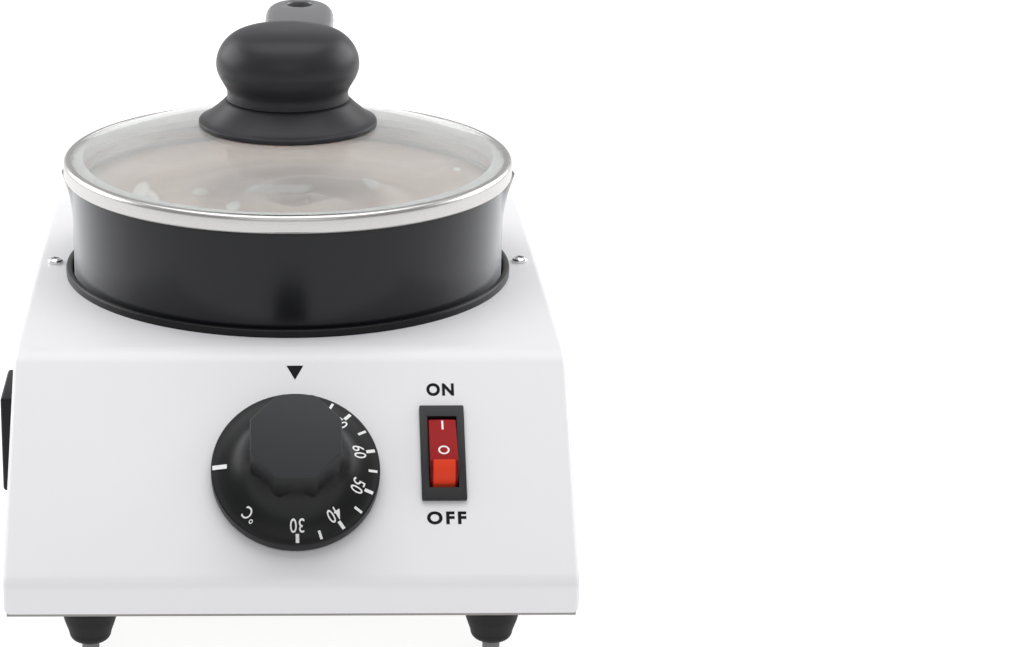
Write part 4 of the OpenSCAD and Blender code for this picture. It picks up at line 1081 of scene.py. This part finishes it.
def makeRocker():
    radius, cut, face = rocker["radius"], rocker["cut"], rocker["face"]
    wide, heel, back = rocker["wide"], rocker["heel"], rocker["back"]
    line = [(rocker["crease"], face), (math.sqrt(radius * radius - face * face), face)]
    first, last = math.asin(face / radius), math.acos(cut / radius)
    for k in range(1, 7):
        angle = first + (last - first) * k / 6
        line.append((radius * math.cos(angle), radius * math.sin(angle)))
    line += [(cut, 0.0), (heel, back), (-heel, back), (-cut, 0.0)]
    nose = [(-cut, radius * math.sin(last))] + [(y * mm, z * mm) for y, z in rocker["nose"]]
    line += arcLine(nose, 3)
    body = slabOf("rocker_cap", [Vector((-wide / 2, y, z)) for y, z in line], Vector((wide, 0, 0)))
    pickEdges(body, lambda a, b: abs(a.x - b.x) < hair and min(a.z, b.z) > rocker["edgeAbove"])
    bevelPicked(rocker["edge"], 3)
    placed(body, onRocker)
    finishPiece(body, "rocker", finish["red_plastic"], 25)
    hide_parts("rocker")


makeRocker()


inlet = {
    "edge": 1.2 * mm,
    "socket": (16.5 * mm, 24.5 * mm),
    "socketDepth": 16 * mm,
    "socketRound": 3 * mm,
    "bodyWide": 23.6 * mm,
}


def makeInlet():
    low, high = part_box("power_inlet")
    middle = (low + high) / 2
    plateX = housingLow.x
    size = (plateX - low.x, high.y - low.y, high.z - low.z)
    box = placed(plainBox(size), Matrix.Translation(((low.x + plateX) / 2, middle.y, middle.z)))
    pickFaces(box, lambda face: face.normal.x > 0.99)
    bpy.ops.mesh.inset(thickness=(size[1] - inlet["bodyWide"]) / 2)
    bpy.ops.mesh.extrude_region_move(TRANSFORM_OT_translate={"value": (high.x - plateX, 0, 0)})
    bpy.ops.object.mode_set(mode="OBJECT")

    def outerEdge(a, b):
        corner = abs(a.x - b.x) > 0.5 * size[0] and min(a.x, b.x) < low.x + hair
        return corner or max(a.x, b.x) < plateX - hair

    pickEdges(box, outerEdge)
    bevelPicked(inlet["edge"], 4)
    socket = plainBox((2 * inlet["socketDepth"], *inlet["socket"]))
    placed(socket, Matrix.Translation((low.x, middle.y, middle.z)))
    pickEdges(socket, lambda a, b: abs(a.x - b.x) > inlet["socketDepth"])
    bevelPicked(inlet["socketRound"], 4)
    cutAway(box, socket)
    finishPiece(box, "base", finish["black_plastic"], 30)
    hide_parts("power_inlet")


makeInlet()
print("controls modelled")


chocolate = {
    "radius": 73.2 * mm,
    "top": 114.6 * mm,
    "overFloor": 0.2 * mm,
    "foot": [(-6, 0), (-1.5, 2), (0, 6)],  # mm from the lower corner
    "rings": 72,
    "swirl": 1.7 * mm,
    "middle": (7 * mm, -19 * mm),  # of the swirl, from the pan's axis
    "arm": 4.0 * mm,  # outward for each radian of the spiral
    "armAt": 20 * mm,
    "armSpread": 24 * mm,
    "ripple": 0.4,
    "rippleArm": 3.2 * mm,
    "rippleFade": 26 * mm,
    "calmRim": 6,  # power by which the waves end at the wall
    "shade": 0.4,
    "crest": 0.9 * mm,
    # place from the axis, half width and half depth in mm, and turn in degrees, of each crest; the crests are
    # raised a little and carry painted glints
    "crests": [
        (-51.5, -9, 3.4, 17, -3), (-46, -18, 1.8, 9, 8), (-30.6, -10, 3.4, 6.5, -12),
        (-19, -25, 3.2, 6, 10), (-9.5, -12, 6, 7.5, -35), (1, -4, 10, 3.2, 22),
        (29, -2, 3.2, 10, 14), (61, 20, 2, 3.5, 0)],
}


def waveAt(away):
    r, around = away.length, math.atan2(away.y, away.x)
    arm = math.exp(-((r - chocolate["armAt"]) / chocolate["armSpread"]) ** 2)
    ripple = chocolate["ripple"] * math.exp(-r / chocolate["rippleFade"])
    wave = math.sin(around + r / chocolate["arm"]) * arm
    return wave + math.sin(2 * around - r / chocolate["rippleArm"]) * ripple


def crestAt(away):
    crest = 0.0
    for x, y, wide, deep, turn in chocolate["crests"]:
        apart = Matrix.Rotation(-math.radians(turn), 2) @ (away - Vector((x, y)) * mm)
        crest += math.exp(-(apart.x / (wide * mm)) ** 2 - (apart.y / (deep * mm)) ** 2)
    return crest


def makeChocolate():
    low = panLow.z + pan["floor"] + chocolate["overFloor"]
    top, outer, rings = chocolate["top"], chocolate["radius"], chocolate["rings"]
    outline = [(0, low)] + [(outer + r * mm, low + z * mm) for r, z in chocolate["foot"]]
    outline += [(outer * (1 - k / rings), top) for k in range(rings + 1)]
    fill = turned("melted_chocolate", outline, potAxis, 192)
    fill.data.attributes.new("swirl", "FLOAT", "POINT")
    fill.data.attributes.new("cream", "FLOAT", "POINT")
    shade, cream = fill.data.attributes["swirl"], fill.data.attributes["cream"]
    for vertex in fill.data.vertices:
        if vertex.co.z < top - hair:
            continue
        away = vertex.co.xy - potAxis.xy
        rim = max(0.0, 1 - (away.length / outer) ** chocolate["calmRim"])
        wave = waveAt(away - Vector(chocolate["middle"])) * rim
        crest = crestAt(away)
        vertex.co.z += chocolate["swirl"] * wave + chocolate["crest"] * crest
        # the crest mask also paints the glints
        cream.data[vertex.index].value = crest
        # painted shade along the swirl: the colour follows the wave height
        shade.data[vertex.index].value = chocolate["shade"] * wave
    finishPiece(fill, "pan", finish["chocolate"], 60)
    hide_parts("melted_chocolate")


makeChocolate()
print("chocolate poured")


panelMarks = {
    "lift": 0.05 * mm,
    "on": ("ON", (47.0 * mm, 30.7 * mm), (8.9 * mm, 4.6 * mm), 1.18),
    "off": ("OFF", (47.6 * mm, -15.0 * mm), (12.4 * mm, 4.5 * mm), 1.3),
    "weight": 0.04,
    "pointer": [(-2.65, 39.6), (2.85, 39.6), (0.1, 34.4)],  # mm from the dial's axis
}


def textMesh(name, body, size, thick, weight, spacing=1.08):
    bpy.ops.object.text_add()
    letters = bpy.context.object
    letters.data.body = body
    letters.data.extrude = 0.5
    letters.data.offset = weight
    letters.data.space_character = spacing
    bpy.ops.object.convert(target="MESH")
    letters = bpy.context.object
    letters.name = name
    spots = [v.co for v in letters.data.vertices]
    low = Vector([min(p[i] for p in spots) for i in range(3)])
    high = Vector([max(p[i] for p in spots) for i in range(3)])
    middle = (low + high) / 2
    ratio = [want / (high[i] - low[i]) for i, want in enumerate((*size, thick))]
    return placed(letters, Matrix.Diagonal((*ratio, 1)) @ Matrix.Translation(-middle))


def makePanelMarks():
    lift = panelMarks["lift"]
    for key in ("on", "off"):
        word, (x, y), size, spacing = panelMarks[key]
        letters = textMesh("mark_" + key, word, size, 2 * lift, panelMarks["weight"], spacing)
        placed(letters, onPanel @ Matrix.Translation((x, y, lift / 2)))
        finishPiece(letters, "base", finish["black_ink"])
    points = [Vector((x * mm, y * mm, -lift)) for x, y in panelMarks["pointer"]]
    pointer = placed(slabOf("mark_pointer", points, Vector((0, 0, 2 * lift))), onPanel)
    finishPiece(pointer, "base", finish["black_ink"])


makePanelMarks()


dialMarks = {
    "tick": (23.1 * mm, 25.9 * mm),
    "tickWide": 1.1 * mm,
    "tickThin": 0.85 * mm,
    "zeroTick": (21.7 * mm, 26.3 * mm),
    "zeroWide": 1.5 * mm,
    "zeroAt": 270.3,
    "digits": 20.8 * mm,
    "digitSize": (4.5 * mm, 3.9 * mm),
    "numbers": {"30": 179, "40": 144.5, "50": 110, "60": 76.5, "70": 43, "80": 12},
    "halves": (162, 127, 93, 60, 28, -3),
    "unit": ("°C", 221, 22.2 * mm),
    "weight": 0.004,
    "lift": 0.06 * mm,
}


def aroundDial(angle):
    return Matrix.Rotation(-math.radians(angle), 4, "Z")


def tickMesh(angle, reach, wide):
    inner, outer = reach
    tick = plainBox((wide, outer - inner, 2 * dialMarks["lift"]))
    return placed(tick, aroundDial(angle) @ Matrix.Translation((0, (inner + outer) / 2, 0)))


def makeDialMarks():
    numbers, tick = dialMarks["numbers"], dialMarks["tick"]
    marks = [tickMesh(angle, tick, dialMarks["tickWide"]) for angle in numbers.values()]
    marks += [tickMesh(angle, tick, dialMarks["tickThin"]) for angle in dialMarks["halves"]]
    marks.append(tickMesh(dialMarks["zeroAt"], dialMarks["zeroTick"], dialMarks["zeroWide"]))
    labels = [(word, angle, dialMarks["digits"]) for word, angle in numbers.items()]
    size, thick = dialMarks["digitSize"], 2 * dialMarks["lift"]
    for word, angle, reach in labels + [dialMarks["unit"]]:
        letters = textMesh("dial_" + str(angle), word, size, thick, dialMarks["weight"])
        marks.append(placed(letters, aroundDial(angle) @ Matrix.Translation((0, reach, 0))))
    ring = joined("dial_marks", *marks)
    for vertex in ring.data.vertices:
        vertex.co.z += skirtHeight(vertex.co.xy.length)
    placed(ring, onPanel)
    finishPiece(ring, "dial", finish["white_ink"])


makeDialMarks()


rockerMarks = {
    "bar": (0.6 * mm, 3.8 * mm),
    "barAt": 6.3 * mm,
    "ring": (1.8 * mm, 1.25 * mm),
    "ringAt": -4.3 * mm,
    "lift": 0.05 * mm,
}


def makeRockerMarks():
    lift, face = rockerMarks["lift"], rocker["face"]
    bar = plainBox((*rockerMarks["bar"], 2 * lift))
    placed(bar, Matrix.Translation((0, rockerMarks["barAt"], face)))
    outer, inner = rockerMarks["ring"]
    low, high = face - lift, face + lift
    line = [(inner, low), (outer, low), (outer, high), (inner, high), (inner, low)]
    ring = turned("rocker_ring", line, Vector((0, 0, 0)), 40)
    placed(ring, Matrix.Translation((0, rockerMarks["ringAt"], 0)))
    both = placed(joined("rocker_marks", bar, ring), onRocker)
    finishPiece(both, "rocker", finish["white_ink"])


makeRockerMarks()
print("lettering laid")


stage = {
    "floor": 60.0,
    "floorColour": (0.35, 0.35, 0.35, 1),
    "floorRough": 0.7,
    "floorGlow": 0.84,
    "air": 0.40,
    "white": (1, 1, 1, 1),
}

# place and size in metres and watts of each softbox, all turned to the pan
softboxes = {
    "left": ((-0.86, 0.42, 0.5), (1.0, 0.6), 5.8),
    "right": ((0.88, 0.42, 0.5), (1.0, 0.6), 5.8),
    "top": ((0.0, -0.3, 1.6), (1.6, 1.0), 6.6),
    "front": ((0.0, -1.7, 1.1), (1.4, 0.8), 3.4),
    "canopy": ((0.0, 0.2, 1.3), (1.6, 0.8), 7.4),
    "back": ((0.0, 1.3, 0.55), (1.6, 0.9), 0.9),
}


def makeStage():
    bpy.ops.mesh.primitive_plane_add(size=stage["floor"])
    floor = bpy.context.object
    floor.name = "floor"
    material, _, shader, _ = newMaterial("floor_white")
    shader.inputs["Base Color"].default_value = stage["floorColour"]
    shader.inputs["Roughness"].default_value = stage["floorRough"]
    shader.inputs["Emission Color"].default_value = stage["white"]
    shader.inputs["Emission Strength"].default_value = stage["floorGlow"]
    floor.data.materials.append(material)
    aim = Vector((*potAxis.xy, plateZ))
    for name, (spot, size, watts) in softboxes.items():
        turn = (aim - Vector(spot)).to_track_quat("-Z", "Y").to_euler()
        bpy.ops.object.light_add(type="AREA", location=spot, rotation=turn)
        light = bpy.context.object
        light.name = "softbox_" + name
        light.data.shape = "RECTANGLE"
        light.data.size, light.data.size_y = size
        light.data.energy = watts
    world = bpy.data.worlds.new("studio")
    world.use_nodes = True
    air = world.node_tree.nodes["Background"]
    air.inputs["Color"].default_value = stage["white"]
    air.inputs["Strength"].default_value = stage["air"]
    bpy.context.scene.world = world
    bpy.context.scene.view_settings.view_transform = "Standard"


makeStage()
